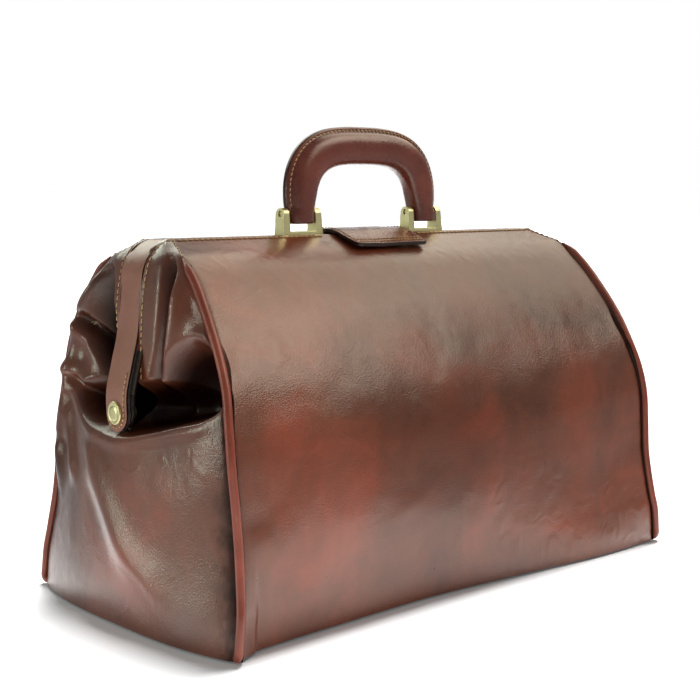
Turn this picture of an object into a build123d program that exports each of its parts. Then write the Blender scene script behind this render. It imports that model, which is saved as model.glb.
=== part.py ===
"""Doctor bag with a hinged two-jaw mouth frame: every leather, steel, brass and fabric piece as its own solid.

Millimetres, +Z up. The origin is the middle of the base on the floor. X runs along the mouth,
the front of the bag faces -Y, and both jaws swing about one axis along X through the end rivets.
"""

from build123d import *
from math import cos, hypot, pi, sqrt
import os

# ---- overall sizes of the leather body
base_length = 408.0            # between the corners of the base, along X
base_width = 236.0             # outside the front and back panels at the base
end_bulge = 15.0               # how far each end panel bellies out past the corners
bar_top_z = 248.2              # leather top of the closed mouth
leather = 2.5                  # outer panels
base_leather = 3.0
board_thickness = 3.0
lining_thickness = 0.8

# ---- lower body
lower_top_z = 142.0            # top edge of the lower front and back panels
lower_top_width = 225.0        # outside the panels at that edge
ledge_z = 121.0                # top of the end panel, just under the strap ends
ledge_thickness = 2.5
ledge_half_width = 92.0
lining_top_z = 117.0
tongue_half_width = 11.0

# ---- jaws
pivot_z = 137.1                # axis of both jaws
upper_edge_z = 144.0           # lower edge of the leather that swings with the jaws
upper_edge_width = 214.0       # outside the closed jaws at that edge
crown_width = 146.8            # width of the closed jaws at the middle of their curve
crown_z = 205.2
upper_half_length = 197.2      # half length of a swinging panel at its lower edge
upper_end_taper = 0.14         # how much shorter that half is per millimetre of height
seam_y = 13.4                  # where the panel meets the mouth bar
panel_start_gap = 0.1          # between the panel's top edge and the strap's edge
gusset_top_z = 235.0
gusset_setback = 0.5           # folded end behind the panel's slanted edge
upper_lining_top_y = 42.0
lining_gap = 0.2

# ---- frame bars, measured on the leather face and set in from it
foot_x = 209.6                 # strap face at the rivet
flat_top_z = 150.0             # the arm is upright up to here
knee_x = 199.6
knee_z = 187.0
shoulder_x = 191.8             # where the arm's line would meet the top of the bar
corner_radius = 27.0
bend_radius = 25.0
strap_width = 24.8
bar_setback = 0.4              # bar leather short of the strap's edge
mouth_gap = 0.8                # between the two closed bars
strap_leather = 1.4
frame_steel = 1.6
steel_margin = 1.0             # leather edge past the steel
hem_leather = 1.0
jaw_gap = 1.2                  # between the front jaw's arm and the rear jaw's arm
rear_arm_width = 21.8
full_width_x = 172.6           # past here the front frame covers both jaws
rear_rail_x = 166.0
rear_cover_gap = 1.0           # rear bar's leather short of the front strap
flange_y = 17.0
web_thickness = 2.0
web_reach = 12.0
flange_top_z = 226.0

# ---- end rivets
rivet_cap_radius = 7.65
rivet_cap_thickness = 2.5
rivet_cap_rounding = 0.8
rivet_tail_margin = 1.5        # tail disc smaller than the washer, all round
rivet_radius = 3.0
running_clearance = 0.05
washer_radius = 7.0
washer_thickness = 1.0
tail_thickness = 1.2
tongue_thickness = 2.0

# ---- piping
piping_radius = 2.5
piping_clearance = 0.6

# ---- closure tab
tab_width = 70.0
tab_leather = 2.0
tab_lining = 1.2
tab_tip_y = -41.5
tab_tip_z = 241.8
tab_bend_y = -13.0
tab_top_z = 252.4
tab_bend_radius = 25.0
tab_hinge_y = 9.0
tab_swing_gap = 0.4            # between the front jaw and the tab, at any angle
tab_end_gap = 0.5
tab_side_gap = 3.0
tab_corner_radius = 6.0
seat_margin = 0.6              # between the tab's seat in the bar and each bracket
seat_bend = 0.3
magnet_depth = 12.0            # how far in the magnet's place is cut
magnet_radius = 7.0
magnet_y = -30.0
anchor_start_y = 14.6
anchor_end_y = 34.0
anchor_thickness = 2.0
anchor_rivet_x = 24.0
anchor_rivet_radius = 1.5
anchor_rivet_head_radius = 4.0
anchor_rivet_head = 1.2

# ---- handle and its brackets
bracket_x = 60.3
handle_setback = 0.5           # handle forward of the middle of its bar
pin_height = 14.9              # pin axis above the bar
bracket_base_width = 36.0
bracket_top_width = 33.2
bracket_gap = 23.5
bracket_base_depth = 10.6
bracket_top_depth = 9.0
bracket_height = 19.0
bracket_floor = 2.5
pin_radius = 2.0
pin_length = 31.0
leg_width = 20.4
leg_drop = 5.8                 # below the pin axis
shoulder_rise = 5.9            # the grip widens this far above the pin axis
grip_outer_half = 72.5
grip_inner_half = 46.0
grip_outer_top = 60.0          # above the pin axis
grip_inner_top = 34.8
grip_outer_spring = 15.0       # where the legs start to turn, above the pin axis
grip_inner_spring = 10.0
grip_outer_turn_x = 51.0       # where the turn meets the flatter crown
grip_inner_turn_x = 27.0
grip_outer_crown = 8.0         # rise of the crown
grip_inner_crown = 2.6
grip_depth = 18.5
grip_leather = 2.6
grip_rounding = 5.0
welt_depth = 7.0
welt_height = 2.2
welt_start = 12.0              # above the pin axis
screw_radius = 1.5
screw_spacing = 12.0
screw_head_radius = 2.75
screw_head = 1.4
screw_hole_clearance = 0.1
screw_bite = 2.0

# ---- pocket on the rear lining
pocket_length = 190.0
pocket_top_z = 214.0
pocket_bottom_z = 152.0
pocket_thickness = 1.2

# ---- beyond every piece, for blocks that only cut
far = 400.0

# ---- worked out from the above
half_length = base_length / 2
half_width = base_width / 2
bar_depth = strap_width / 2 - bar_setback
handle_y = -bar_depth / 2 - handle_setback
bar_steel_inset = strap_leather
hem_inset = strap_leather + frame_steel
front_inner_inset = hem_inset + hem_leather
rear_inset = front_inner_inset + jaw_gap
rear_hem_inset = rear_inset + frame_steel
rear_inner_inset = rear_hem_inset + hem_leather
pin_z = bar_top_z + pin_height
tab_thickness = tab_leather + tab_lining
tongue_outer_x = foot_x - rear_inner_inset - running_clearance - washer_thickness
tongue_inner_x = tongue_outer_x - tongue_thickness


def block(x_range, y_range, z_range):
    """A box between two limits along each axis."""
    sizes = [high - low for low, high in (x_range, y_range, z_range)]
    middle = [(high + low) / 2 for low, high in (x_range, y_range, z_range)]
    return Pos(*middle) * Box(*sizes)


def prism_x(face, x_low, x_high):
    """A face drawn in the YZ plane, made solid between two X values."""
    return Pos(x_low, 0, 0) * extrude(face, amount=x_high - x_low, dir=(1, 0, 0))


def prism_y(face, y_low, y_high):
    """A face drawn in the XZ plane, made solid between two Y values."""
    return Pos(0, y_low, 0) * extrude(face, amount=y_high - y_low, dir=(0, 1, 0))


def face_yz(points):
    """The straight-sided YZ face with these (y, z) corners."""
    return make_face(Polyline(*[(0, y, z) for y, z in points], close=True))


def face_xz(points):
    """The straight-sided XZ face with these (x, z) corners."""
    return make_face(Polyline(*[(x, 0, z) for x, z in points], close=True))


def rod_x(radius, x_low, x_high, y, z):
    """A round bar along X."""
    return Pos((x_low + x_high) / 2, y, z) * Rot(0, 90, 0) * Cylinder(radius, x_high - x_low)


def both_ends(left):
    """The same piece at the left and right ends."""
    return [left, mirror(left, about=Plane.YZ)]


def write(name, *shapes):
    """Write one node: a solid, or a group of separate ones."""
    solids = [solid for shape in shapes for solid in shape.solids()]
    export_step(solids[0] if len(solids) == 1 else Compound(solids), f"parts/{name}.step")


# ---- curve of the swinging panels: a circle through the seam, the crown and the lower edge
def circle_through(first, second, third):
    """Centre and radius of the circle through three (y, z) points."""
    (ay, az), (by, bz), (cy, cz) = first, second, third
    twice = 2 * (ay * (bz - cz) + by * (cz - az) + cy * (az - bz))
    a2, b2, c2 = ay**2 + az**2, by**2 + bz**2, cy**2 + cz**2
    y = (a2 * (bz - cz) + b2 * (cz - az) + c2 * (az - bz)) / twice
    z = (a2 * (cy - by) + b2 * (ay - cy) + c2 * (by - ay)) / twice
    return y, z, hypot(ay - y, az - z)


seam_point = (-seam_y, bar_top_z)
crown_point = (-crown_width / 2, crown_z)
edge_point = (-upper_edge_width / 2, upper_edge_z)
curve_y, curve_z, curve_radius = circle_through(seam_point, crown_point, edge_point)


def curve_at(z, inset=0.0):
    """The Y of the front panel's curve at height z, set in towards the inside of the bag."""
    return curve_y - sqrt((curve_radius - inset) ** 2 - (z - curve_z) ** 2)


def curve_height(y, inset=0.0):
    """The Z of the front panel's curve at depth y."""
    return curve_z + sqrt((curve_radius - inset) ** 2 - (y - curve_y) ** 2)


def curved_band(inset, thickness, x_half, y_limits, z_limits):
    """A sheet that follows the panel's curve, set in by inset, between Y and Z limits."""
    outer = rod_x(curve_radius - inset, -x_half, x_half, curve_y, curve_z)
    inner = rod_x(curve_radius - inset - thickness, -x_half - 1, x_half + 1, curve_y, curve_z)
    return (outer - inner) & block((-x_half - 1, x_half + 1), y_limits, z_limits)


def end_half(z):
    """Half length of a swinging panel at height z."""
    return upper_half_length - (z - upper_edge_z) * upper_end_taper


def tapered(margin):
    """The wedge between the swinging panels' slanted ends, moved out by margin."""
    low = upper_edge_z - 10
    high = bar_top_z + 10
    corners = [
        (-end_half(low) - margin, low),
        (end_half(low) + margin, low),
        (end_half(high) + margin, high),
        (-end_half(high) - margin, high),
    ]
    return prism_y(face_xz(corners), -half_width, half_width)


# ---- outline of the mouth frame in the XZ plane
seat_radius = hypot(tab_tip_y, tab_tip_z - pivot_z) - tab_thickness - tab_swing_gap
seat_z = pivot_z + sqrt(seat_radius**2 - bar_depth**2) - panel_start_gap
seat_half = tab_width / 2 + tab_side_gap
bracket_inner_x = bracket_x - bracket_base_width / 2


def frame_line(inset, dipped):
    """The U of the frame, foot to foot, set in from the leather face; dipped leaves a seat for the tab."""
    foot_z = pivot_z - strap_width
    right = [
        (foot_x - inset, foot_z),
        (foot_x - inset, flat_top_z),
        (knee_x - inset, knee_z),
        (shoulder_x - inset, bar_top_z - inset),
    ]
    dip = [
        (bracket_inner_x - seat_margin, bar_top_z - inset),
        (seat_half, seat_z - inset),
    ]
    right_half = right + (dip if dipped else [])
    points = right_half + [(-x, z) for x, z in reversed(right_half)]
    bends = [bend_radius, bend_radius, corner_radius - inset]
    middle = [seat_bend] * (4 if dipped else 0)
    return FilletPolyline(*[(x, 0, z) for x, z in points], radius=bends + middle + bends[::-1])


def frame_band(inset, thickness, y_limits, dipped=False):
    """The strip between two frame outlines."""
    outer = frame_line(inset, dipped)
    inner = frame_line(inset + thickness, dipped)
    face = make_face([outer, inner, Line(outer @ 0, inner @ 0), Line(outer @ 1, inner @ 1)])
    return prism_y(face, *y_limits)


def arm_shape(width):
    """Where an arm may be: a strip with a round end about the pivot."""
    strip = block((-far, far), (-width / 2, width / 2), (pivot_z, far))
    end = rod_x(width / 2, -far, far, 0, pivot_z)
    return strip + end


def past(x):
    """Everything further than x from the middle, at both ends."""
    right = block((x, far), (-half_width, half_width), (0, far))
    return Compound([right, mirror(right, about=Plane.YZ)])


def within(x, y_limits):
    """The middle of the bag, between two Y values."""
    return block((-x, x), y_limits, (0, far))


def rivet_hole(radius):
    """Holes for both end rivets."""
    return rod_x(radius, -far, far, 0, pivot_z)


# ---- lower body: base, board, panels, ends, lining
def plan(inset, half_depth):
    """The bag seen from above: straight sides and bellied ends."""
    corner = half_length - inset
    belly = half_length + end_bulge - inset
    right = ThreePointArc((corner, -half_depth), (belly, 0), (corner, half_depth))
    left = ThreePointArc((-corner, half_depth), (-belly, 0), (-corner, -half_depth))
    back = Line((corner, half_depth), (-corner, half_depth))
    front = Line((-corner, -half_depth), (corner, -half_depth))
    return make_face([right, back, left, front])


def wall_y(z, inset=0.0):
    """Depth of the lower panels' outer face at height z."""
    share = (z - base_leather) / (lower_top_z - base_leather)
    return half_width + (lower_top_width / 2 - half_width) * share - inset


def between_walls(inset, z_low, z_high):
    """The space between the leaning front and back panels."""
    corners = [
        (-wall_y(z_low, inset), z_low),
        (wall_y(z_low, inset), z_low),
        (wall_y(z_high, inset), z_high),
        (-wall_y(z_high, inset), z_high),
    ]
    return prism_x(face_yz(corners), -far, far)


def make_lower_body():
    """Leather and board that stand still while the jaws swing."""
    base = extrude(plan(0, half_width), amount=base_leather)
    write("base_panel", base)
    board = extrude(Pos(0, 0, base_leather) * plan(leather + 1, half_width - leather - 1), amount=board_thickness)
    write("base_board", board)
    walls = between_walls(0, base_leather, lower_top_z) - between_walls(leather, base_leather, lower_top_z)
    walls = walls & block((-half_length, half_length), (-half_width, half_width), (base_leather, lower_top_z))
    write("front_panel_lower", walls & block((-half_length, half_length), (-half_width, 0), (0, lower_top_z)))
    write("back_panel_lower", walls & block((-half_length, half_length), (0, half_width), (0, lower_top_z)))
    inner_depth = half_width - leather
    ends = extrude(Pos(0, 0, base_leather) * (plan(0, inner_depth) - plan(leather, inner_depth)),
                   amount=ledge_z - base_leather)
    ledge = extrude(Pos(0, 0, ledge_z - ledge_thickness) * plan(0, ledge_half_width), amount=ledge_thickness)
    ends = ends & between_walls(leather, base_leather, ledge_z)
    right_end = (ends + (ledge & past(tongue_inner_x))) & block((0, far), (-half_width, half_width), (0, ledge_z))
    right_end = right_end + tongue() - rivet_hole(rivet_radius)
    write("gusset_lower_right", right_end)
    write("gusset_lower_left", mirror(right_end, about=Plane.YZ))
    floor_z = base_leather + board_thickness
    outside = (extrude(Pos(0, 0, floor_z) * plan(leather, inner_depth), amount=lining_top_z - floor_z)
               & between_walls(leather, floor_z, lining_top_z))
    inside_z = floor_z + lining_thickness
    inset = leather + lining_thickness
    inside = (extrude(Pos(0, 0, inside_z) * plan(inset, inner_depth), amount=lining_top_z)
              & between_walls(inset, inside_z, lining_top_z + 1))
    write("lining_lower", outside - inside)


def tongue():
    """The leather tongue that stands on the right ledge and holds the end rivet."""
    upright = block((tongue_inner_x, tongue_outer_x), (-tongue_half_width, tongue_half_width), (ledge_z, pivot_z))
    return upright + rod_x(tongue_half_width, tongue_inner_x, tongue_outer_x, 0, pivot_z)


def make_lower_piping():
    """Four corded edges up the corners of the lower body, standing just outside the leather."""
    x = half_length + piping_radius + piping_clearance
    low = base_leather + 1
    out = piping_clearance / 2
    front_right = Line((x, -wall_y(low) - out, low), (x, -wall_y(lower_top_z) - out, lower_top_z - 1))
    section = Plane(origin=front_right @ 0, z_dir=front_right % 0) * Circle(piping_radius)
    cord = sweep(section, path=front_right)
    pair = both_ends(cord)
    write("piping_lower", *pair, *[mirror(piece, about=Plane.XZ) for piece in pair])


def make_rivets():
    """End rivets with the rings between the arms, and the washers and tails inside."""
    spacer_outer = foot_x - front_inner_inset
    spacer_inner = foot_x - rear_inset
    rear_inner = foot_x - rear_inner_inset
    tail_inner = tongue_inner_x - tail_thickness
    cap = rod_x(rivet_cap_radius, foot_x + running_clearance, foot_x + rivet_cap_thickness, 0, pivot_z)
    cap = fillet(cap.edges().sort_by(Axis.X)[-1], rivet_cap_rounding)
    shank = rod_x(rivet_radius, tail_inner, foot_x + 1, 0, pivot_z)
    write("pivot_rivets", *both_ends(cap + shank))
    ring = rod_x(washer_radius, spacer_inner + running_clearance, spacer_outer - running_clearance, 0, pivot_z)
    write("pivot_spacers", *both_ends(ring - rivet_hole(rivet_radius)))
    washer = rod_x(washer_radius, tongue_outer_x, rear_inner - running_clearance, 0, pivot_z)
    write("pivot_washers", *both_ends(washer - rivet_hole(rivet_radius)))
    tail = rod_x(washer_radius - rivet_tail_margin, tail_inner, tongue_inner_x, 0, pivot_z)
    write("rivet_tails", *both_ends(tail - rivet_hole(rivet_radius)))


# ---- the jaws' leather, drawn for the front and mirrored for the rear
def jaw_panel():
    """The front jaw's curved leather above the pivot, tapered at its ends."""
    start_y = -strap_width / 2 - panel_start_gap
    sheet = curved_band(0, leather, far, (-half_width, start_y), (upper_edge_z, bar_top_z))
    return sheet & tapered(0)


def jaw_gusset(hem_face):
    """Half of a folded end: a slanted plate behind the panel and a web that reaches the frame's hem."""
    low_z = upper_edge_z - 2
    plate = tapered(-gusset_setback) - tapered(-leather)
    plate = plate & block((0, far), (-half_width, -flange_y), (low_z, gusset_top_z))
    plate = plate & rod_x(curve_radius - leather - lining_gap, -far, far, curve_y, curve_z)
    web = frame_band(hem_face, web_reach, (-flange_y - web_thickness, -flange_y))
    web = web & block((0, far), (-half_width, 0), (low_z, flange_top_z))
    return plate + (web - tapered(-leather))


def jaw_piping():
    """The cord at the front jaw's right end, round and just outside the panel's edge."""
    heights = (gusset_top_z - 1, (gusset_top_z + upper_edge_z) / 2, upper_edge_z + 3)
    out = piping_radius + piping_clearance
    points = [(end_half(z) + out, curve_at(z), z) for z in heights]
    path = ThreePointArc(*points)
    section = Plane(origin=path @ 0, z_dir=path % 0) * Circle(piping_radius)
    return sweep(section, path=path)


def jaw_lining():
    """The fabric behind the front jaw's panel, inside the folded ends."""
    height = (upper_edge_z + 2, bar_top_z)
    sheet = curved_band(leather + lining_gap, lining_thickness, far, (-half_width, -upper_lining_top_y), height)
    return sheet & tapered(-leather - gusset_setback)


def seat_zone():
    """The space over the front jaw that the tab sweeps through."""
    above = block((-seat_half, seat_half), (tab_tip_y - 20, 0), (pivot_z, far))
    return above - rod_x(seat_radius, -seat_half, seat_half, 0, pivot_z)


def make_front_jaw():
    """The outer frame with its leather, panel, folded ends, cord, lining and magnet plate."""
    bar_y = (-bar_depth, -mouth_gap / 2)
    steel_y = (-bar_depth + steel_margin, -mouth_gap / 2)
    arm = arm_shape(strap_width)
    steel_arm = arm_shape(strap_width - 2 * steel_margin)
    middle = within(full_width_x, (-far, 0))
    wide = (-strap_width, strap_width)
    holes = rivet_hole(rivet_radius + running_clearance)
    screws = screw_places(screw_radius + screw_hole_clearance)
    steel = (frame_band(bar_steel_inset, frame_steel, wide) & past(full_width_x)) & steel_arm
    rail = frame_band(bar_steel_inset, frame_steel, steel_y, dipped=True) & middle
    write("front_frame", steel + rail - holes - screws)
    straps = (frame_band(0, strap_leather, wide) & past(full_width_x)) & arm
    straps = straps - holes
    write("front_strap_left", straps & block((-far, 0), (-far, far), (0, far)))
    write("front_strap_right", straps & block((0, far), (-far, far), (0, far)))
    cover = frame_band(0, strap_leather, bar_y, dipped=True) & middle
    write("front_bar_cover", cover - screws)
    hem = (frame_band(hem_inset, hem_leather, wide) & past(full_width_x)) & arm
    flange = frame_band(hem_inset, hem_leather, (-flange_y, 0))
    flange = flange & past(full_width_x) & block((-far, far), (-far, 0), (flat_top_z, flange_top_z))
    bar_hem = frame_band(hem_inset, hem_leather, steel_y, dipped=True) & middle
    write("front_hem", hem + flange + bar_hem - holes - screws)
    panel = jaw_panel() - seat_zone()
    seat_inner = seat_radius - leather
    seat = rod_x(seat_radius, -seat_half, seat_half, 0, pivot_z) - rod_x(seat_inner, -seat_half, seat_half, 0, pivot_z)
    seat = seat & block((-seat_half, seat_half), (magnet_y, -bar_depth - panel_start_gap), (pivot_z, bar_top_z))
    disc = magnet_place(magnet_radius + 1, seat_radius)
    write("front_panel_upper", panel + seat - disc)
    gusset = jaw_gusset(hem_inset)
    write("front_gusset_upper_right", gusset)
    write("front_gusset_upper_left", mirror(gusset, about=Plane.YZ))
    write("front_piping_upper", *both_ends(jaw_piping()))
    write("front_lining_upper", jaw_lining())
    write("magnet_plate", disc & jaw_panel())


def magnet_place(radius, height):
    """A short round bar square to the tab at its magnet, from the pivot axis out to a height."""
    lean = magnet_y / sqrt(seat_radius**2 - magnet_y**2)
    direction = Vector(0, lean, 1).normalized()
    start = Vector(0, 0, pivot_z) + direction * (seat_radius - magnet_depth)
    plane = Plane(origin=start, z_dir=direction)
    return extrude(plane * Circle(radius), amount=height - seat_radius + magnet_depth)


def screw_places(radius):
    """Where the bracket screws pass through the front bar."""
    spots = [(side * bracket_x + step * screw_spacing / 2) for side in (-1, 1) for step in (-1, 1)]
    low = bar_top_z - front_inner_inset - screw_head
    rod = Cylinder(radius, screw_head + front_inner_inset + screw_bite, align=(Align.CENTER, Align.CENTER, Align.MIN))
    return Compound([Pos(x, handle_y, low) * rod for x in spots])


def make_rear_jaw():
    """The inner frame with its leather, panel, folded ends, cord, lining and pocket."""
    arm = arm_shape(rear_arm_width)
    holes = rivet_hole(rivet_radius + running_clearance)
    wide = (-strap_width, strap_width)
    steel = (frame_band(rear_inset, frame_steel, wide) & past(rear_rail_x)) & arm
    rail_y = (mouth_gap / 2, bar_depth - steel_margin)
    rail = block((-rear_rail_x, rear_rail_x), rail_y, (bar_top_z - rear_hem_inset, bar_top_z - strap_leather))
    write("rear_frame", steel + rail - holes)
    cover_half = full_width_x - rear_cover_gap
    cover = block((-cover_half, cover_half), (mouth_gap / 2, bar_depth), (bar_top_z - strap_leather, bar_top_z))
    write("rear_bar_cover", cover)
    hem = (frame_band(rear_hem_inset, hem_leather, wide) & past(rear_rail_x)) & arm
    flange = frame_band(rear_hem_inset, hem_leather, (0, flange_y))
    flange = flange & past(full_width_x) & block((-far, far), (0, far), (flat_top_z, flange_top_z))
    bar_hem = block((-rear_rail_x, rear_rail_x), rail_y,
                    (bar_top_z - rear_inner_inset, bar_top_z - rear_hem_inset))
    write("rear_hem", hem + flange + bar_hem - holes)
    panel = mirror(jaw_panel(), about=Plane.XZ)
    write("back_panel_upper", panel - anchor_rivets(anchor_rivet_radius))
    gusset = mirror(jaw_gusset(rear_hem_inset), about=Plane.XZ)
    write("rear_gusset_upper_right", gusset)
    write("rear_gusset_upper_left", mirror(gusset, about=Plane.YZ))
    write("rear_piping_upper", *[mirror(piece, about=Plane.XZ) for piece in both_ends(jaw_piping())])
    write("rear_lining_upper", mirror(jaw_lining(), about=Plane.XZ))
    pocket_inset = leather + lining_thickness + 2 * lining_gap
    pocket = curved_band(pocket_inset, pocket_thickness, pocket_length / 2,
                         (-half_width, 0), (pocket_bottom_z, pocket_top_z))
    write("rear_pocket", mirror(pocket, about=Plane.XZ))


# ---- closure tab and its anchor
def tab_line(depth):
    """The tab's side outline from hinge to tip, set down by depth."""
    slope_y = tab_tip_y - tab_bend_y
    slope_z = tab_tip_z - tab_top_z
    length = hypot(slope_y, slope_z)
    shift_y = depth * slope_z / length
    shift_z = depth * slope_y / length
    start = (0, tab_hinge_y - tab_end_gap, tab_top_z - depth)
    bend = (0, tab_bend_y, tab_top_z - depth)
    tip = (0, tab_tip_y + shift_y, tab_tip_z + shift_z)
    return FilletPolyline(start, bend, tip, radius=tab_bend_radius - depth)


def tab_layer(depth, thickness):
    """One leather layer of the tab."""
    top = tab_line(depth)
    under = tab_line(depth + thickness)
    face = make_face([top, under, Line(top @ 0, under @ 0), Line(top @ 1, under @ 1)])
    return prism_x(face, -tab_width / 2, tab_width / 2)


def round_tip(layer):
    """Round the tab's two front corners."""
    tip_y = tab_tip_y - tab_thickness / 2
    half = tab_width / 2
    corner_x = half - tab_corner_radius
    corner_y = tip_y + tab_corner_radius
    keep = block((-half, half), (corner_y, far), (pivot_z, far))
    middle = block((-corner_x, corner_x), (tip_y, far), (pivot_z, far))
    post = Pos(corner_x, corner_y, pivot_z) * Cylinder(tab_corner_radius, far)
    return layer & (keep + middle + post + mirror(post, about=Plane.YZ))


def anchor_rivet(side, radius):
    """Where one rivet holds the tab's anchor to the rear panel, square to the panel's curve."""
    middle_y = (anchor_start_y + anchor_end_y) / 2
    z = curve_height(-middle_y)
    direction = Vector(0, middle_y + curve_y, z - curve_z).normalized()
    start = Vector(side * anchor_rivet_x, middle_y, z) - direction * (leather + lining_gap)
    length = leather + lining_gap + anchor_thickness + anchor_rivet_head
    return extrude(Plane(origin=start, z_dir=direction) * Circle(radius), amount=length)


def anchor_rivets(radius):
    """Both rivets' places."""
    return Compound([anchor_rivet(side, radius) for side in (-1, 1)])


def make_tab():
    """The flap, its lining and magnet, and the anchor fixed on the rear panel."""
    lining = round_tip(tab_layer(tab_leather, tab_lining))
    place = magnet_place(magnet_radius, seat_radius + magnet_depth)
    write("tab_leather", round_tip(tab_layer(0, tab_leather)))
    write("tab_lining", lining - place)
    write("tab_magnet", lining & place)
    anchor = mirror(curved_band(-anchor_thickness, anchor_thickness, tab_width / 2,
                                (-anchor_end_y, -anchor_start_y), (upper_edge_z, far)), about=Plane.XZ)
    write("tab_anchor", anchor - anchor_rivets(anchor_rivet_radius))
    above = mirror(curved_band(-anchor_thickness - anchor_rivet_head, anchor_rivet_head, tab_width,
                               (-half_width, 0), (pivot_z, far)), about=Plane.XZ)
    made = [(anchor_rivet(side, anchor_rivet_head_radius) & above) + anchor_rivet(side, anchor_rivet_radius)
            for side in (-1, 1)]
    write("anchor_rivets", *made)


# ---- handle and brackets
def make_brackets():
    """Two brass yokes on the front bar, and the screws that hold them from inside."""
    half_base = bracket_base_width / 2
    half_top = bracket_top_width / 2
    half_gap = bracket_gap / 2
    front_view = [
        (-half_base, 0), (-half_top, bracket_height), (-half_gap, bracket_height), (-half_gap, bracket_floor),
        (half_gap, bracket_floor), (half_gap, bracket_height), (half_top, bracket_height), (half_base, 0),
    ]
    body = prism_y(face_xz(front_view), -bracket_base_depth, bracket_base_depth)
    round_z = bracket_height - bracket_top_depth / 2
    sides = [(0, -bracket_base_depth / 2, 0), (0, -bracket_top_depth / 2, round_z)]
    top = ThreePointArc(sides[1], (0, 0, bracket_height), (0, bracket_top_depth / 2, round_z))
    outline = [Line(*sides), top, Line(top @ 1, (0, bracket_base_depth / 2, 0)),
               Line((0, bracket_base_depth / 2, 0), sides[0])]
    yoke = body & prism_x(make_face(outline), -half_base, half_base)
    yoke = yoke - rod_x(pin_radius + running_clearance, -half_base, half_base, 0, pin_height)
    for side, name in ((-1, "left"), (1, "right")):
        placed = Pos(side * bracket_x, handle_y, bar_top_z) * yoke
        write(f"handle_bracket_{name}", placed - screw_places(screw_radius))
    head_top = bar_top_z - front_inner_inset
    made = []
    for shank in screw_places(screw_radius).solids():
        x = shank.center().X
        head = Pos(x, handle_y, head_top - screw_head / 2) * Cylinder(screw_head_radius, screw_head)
        made.append(shank + head)
    write("bracket_screws", *made)


def turn(leg_x, spring_z, corner):
    """The arc from the top of an upright leg to the start of the crown, upright where it leaves the leg."""
    return TangentArc((leg_x, 0, spring_z), corner, tangent=(0, 0, 1))


def grip_face(inset):
    """The handle's face in the XZ plane above its pins, set in evenly."""
    top = pin_z + grip_outer_top - inset
    under = pin_z + grip_inner_top + inset
    out_x = grip_outer_half - inset
    in_x = grip_inner_half + inset
    foot = pin_z + shoulder_rise
    spring = pin_z + grip_outer_spring
    inner_spring = pin_z + grip_inner_spring
    out_corner = (grip_outer_turn_x - inset * cos(pi / 4), 0, top - grip_outer_crown)
    in_corner = (grip_inner_turn_x + inset * cos(pi / 4), 0, under - grip_inner_crown)
    arc_out = turn(out_x, spring, out_corner)
    crown_out = ThreePointArc(out_corner, (0, 0, top), (-out_corner[0], 0, out_corner[2]))
    arc_back = mirror(arc_out, about=Plane.YZ)
    arc_in = turn(in_x, inner_spring, in_corner)
    crown_in = ThreePointArc(in_corner, (0, 0, under), (-in_corner[0], 0, in_corner[2]))
    arc_in_back = mirror(arc_in, about=Plane.YZ)
    legs = [
        Line((out_x, 0, foot), (out_x, 0, spring)), Line((-out_x, 0, foot), (-out_x, 0, spring)),
        Line((in_x, 0, foot), (in_x, 0, inner_spring)), Line((-in_x, 0, foot), (-in_x, 0, inner_spring)),
        Line((in_x, 0, foot), (out_x, 0, foot)), Line((-in_x, 0, foot), (-out_x, 0, foot)),
    ]
    return make_face([arc_out, crown_out, arc_back, arc_in, crown_in, arc_in_back, *legs])


def handle_solid(inset, depth):
    """The handle's body with its narrow leg ends, set in by inset."""
    grip = prism_y(grip_face(inset), handle_y - depth / 2, handle_y + depth / 2)
    legs = []
    for side in (-1, 1):
        middle = side * bracket_x
        half = leg_width / 2 - inset
        legs.append(block((middle - half, middle + half), (handle_y - depth / 2, handle_y + depth / 2),
                          (pin_z - leg_drop + inset, pin_z + shoulder_rise + inset + 1)))
    return grip + legs[0] + legs[1]


def make_handle():
    """Stiff core, the leather wrapped round it, the sewn welt along the outside, and the pins."""
    core = handle_solid(grip_leather, grip_depth - 2 * grip_leather)
    leather_body = handle_solid(0, grip_depth)
    long_edges = leather_body.edges().filter_by(GeomType.CIRCLE)
    leather_body = fillet(long_edges, grip_rounding)
    pins = [rod_x(pin_radius, side * bracket_x - pin_length / 2, side * bracket_x + pin_length / 2, handle_y, pin_z)
            for side in (-1, 1)]
    leather_skin = leather_body - core
    for pin in pins:
        core = core - pin
        leather_skin = leather_skin - pin
    write("handle_core", core)
    write("handle_leather", leather_skin)
    write("handle_pins", *pins)
    outer = prism_y(grip_face(-welt_height), handle_y - welt_depth / 2, handle_y + welt_depth / 2)
    inner = prism_y(grip_face(0.0), handle_y - welt_depth, handle_y + welt_depth)
    hand_gap = block((-grip_inner_half - 1, grip_inner_half + 1), (-far, far), (0, pin_z + grip_inner_top + 1))
    welt = (outer - inner - hand_gap) & block((-far, far), (-far, far), (pin_z + welt_start, far))
    write("handle_welt", welt)


os.makedirs("parts", exist_ok=True)
make_lower_body()
make_lower_piping()
make_rivets()
make_front_jaw()
make_rear_jaw()
make_tab()
make_brackets()
make_handle()
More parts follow.
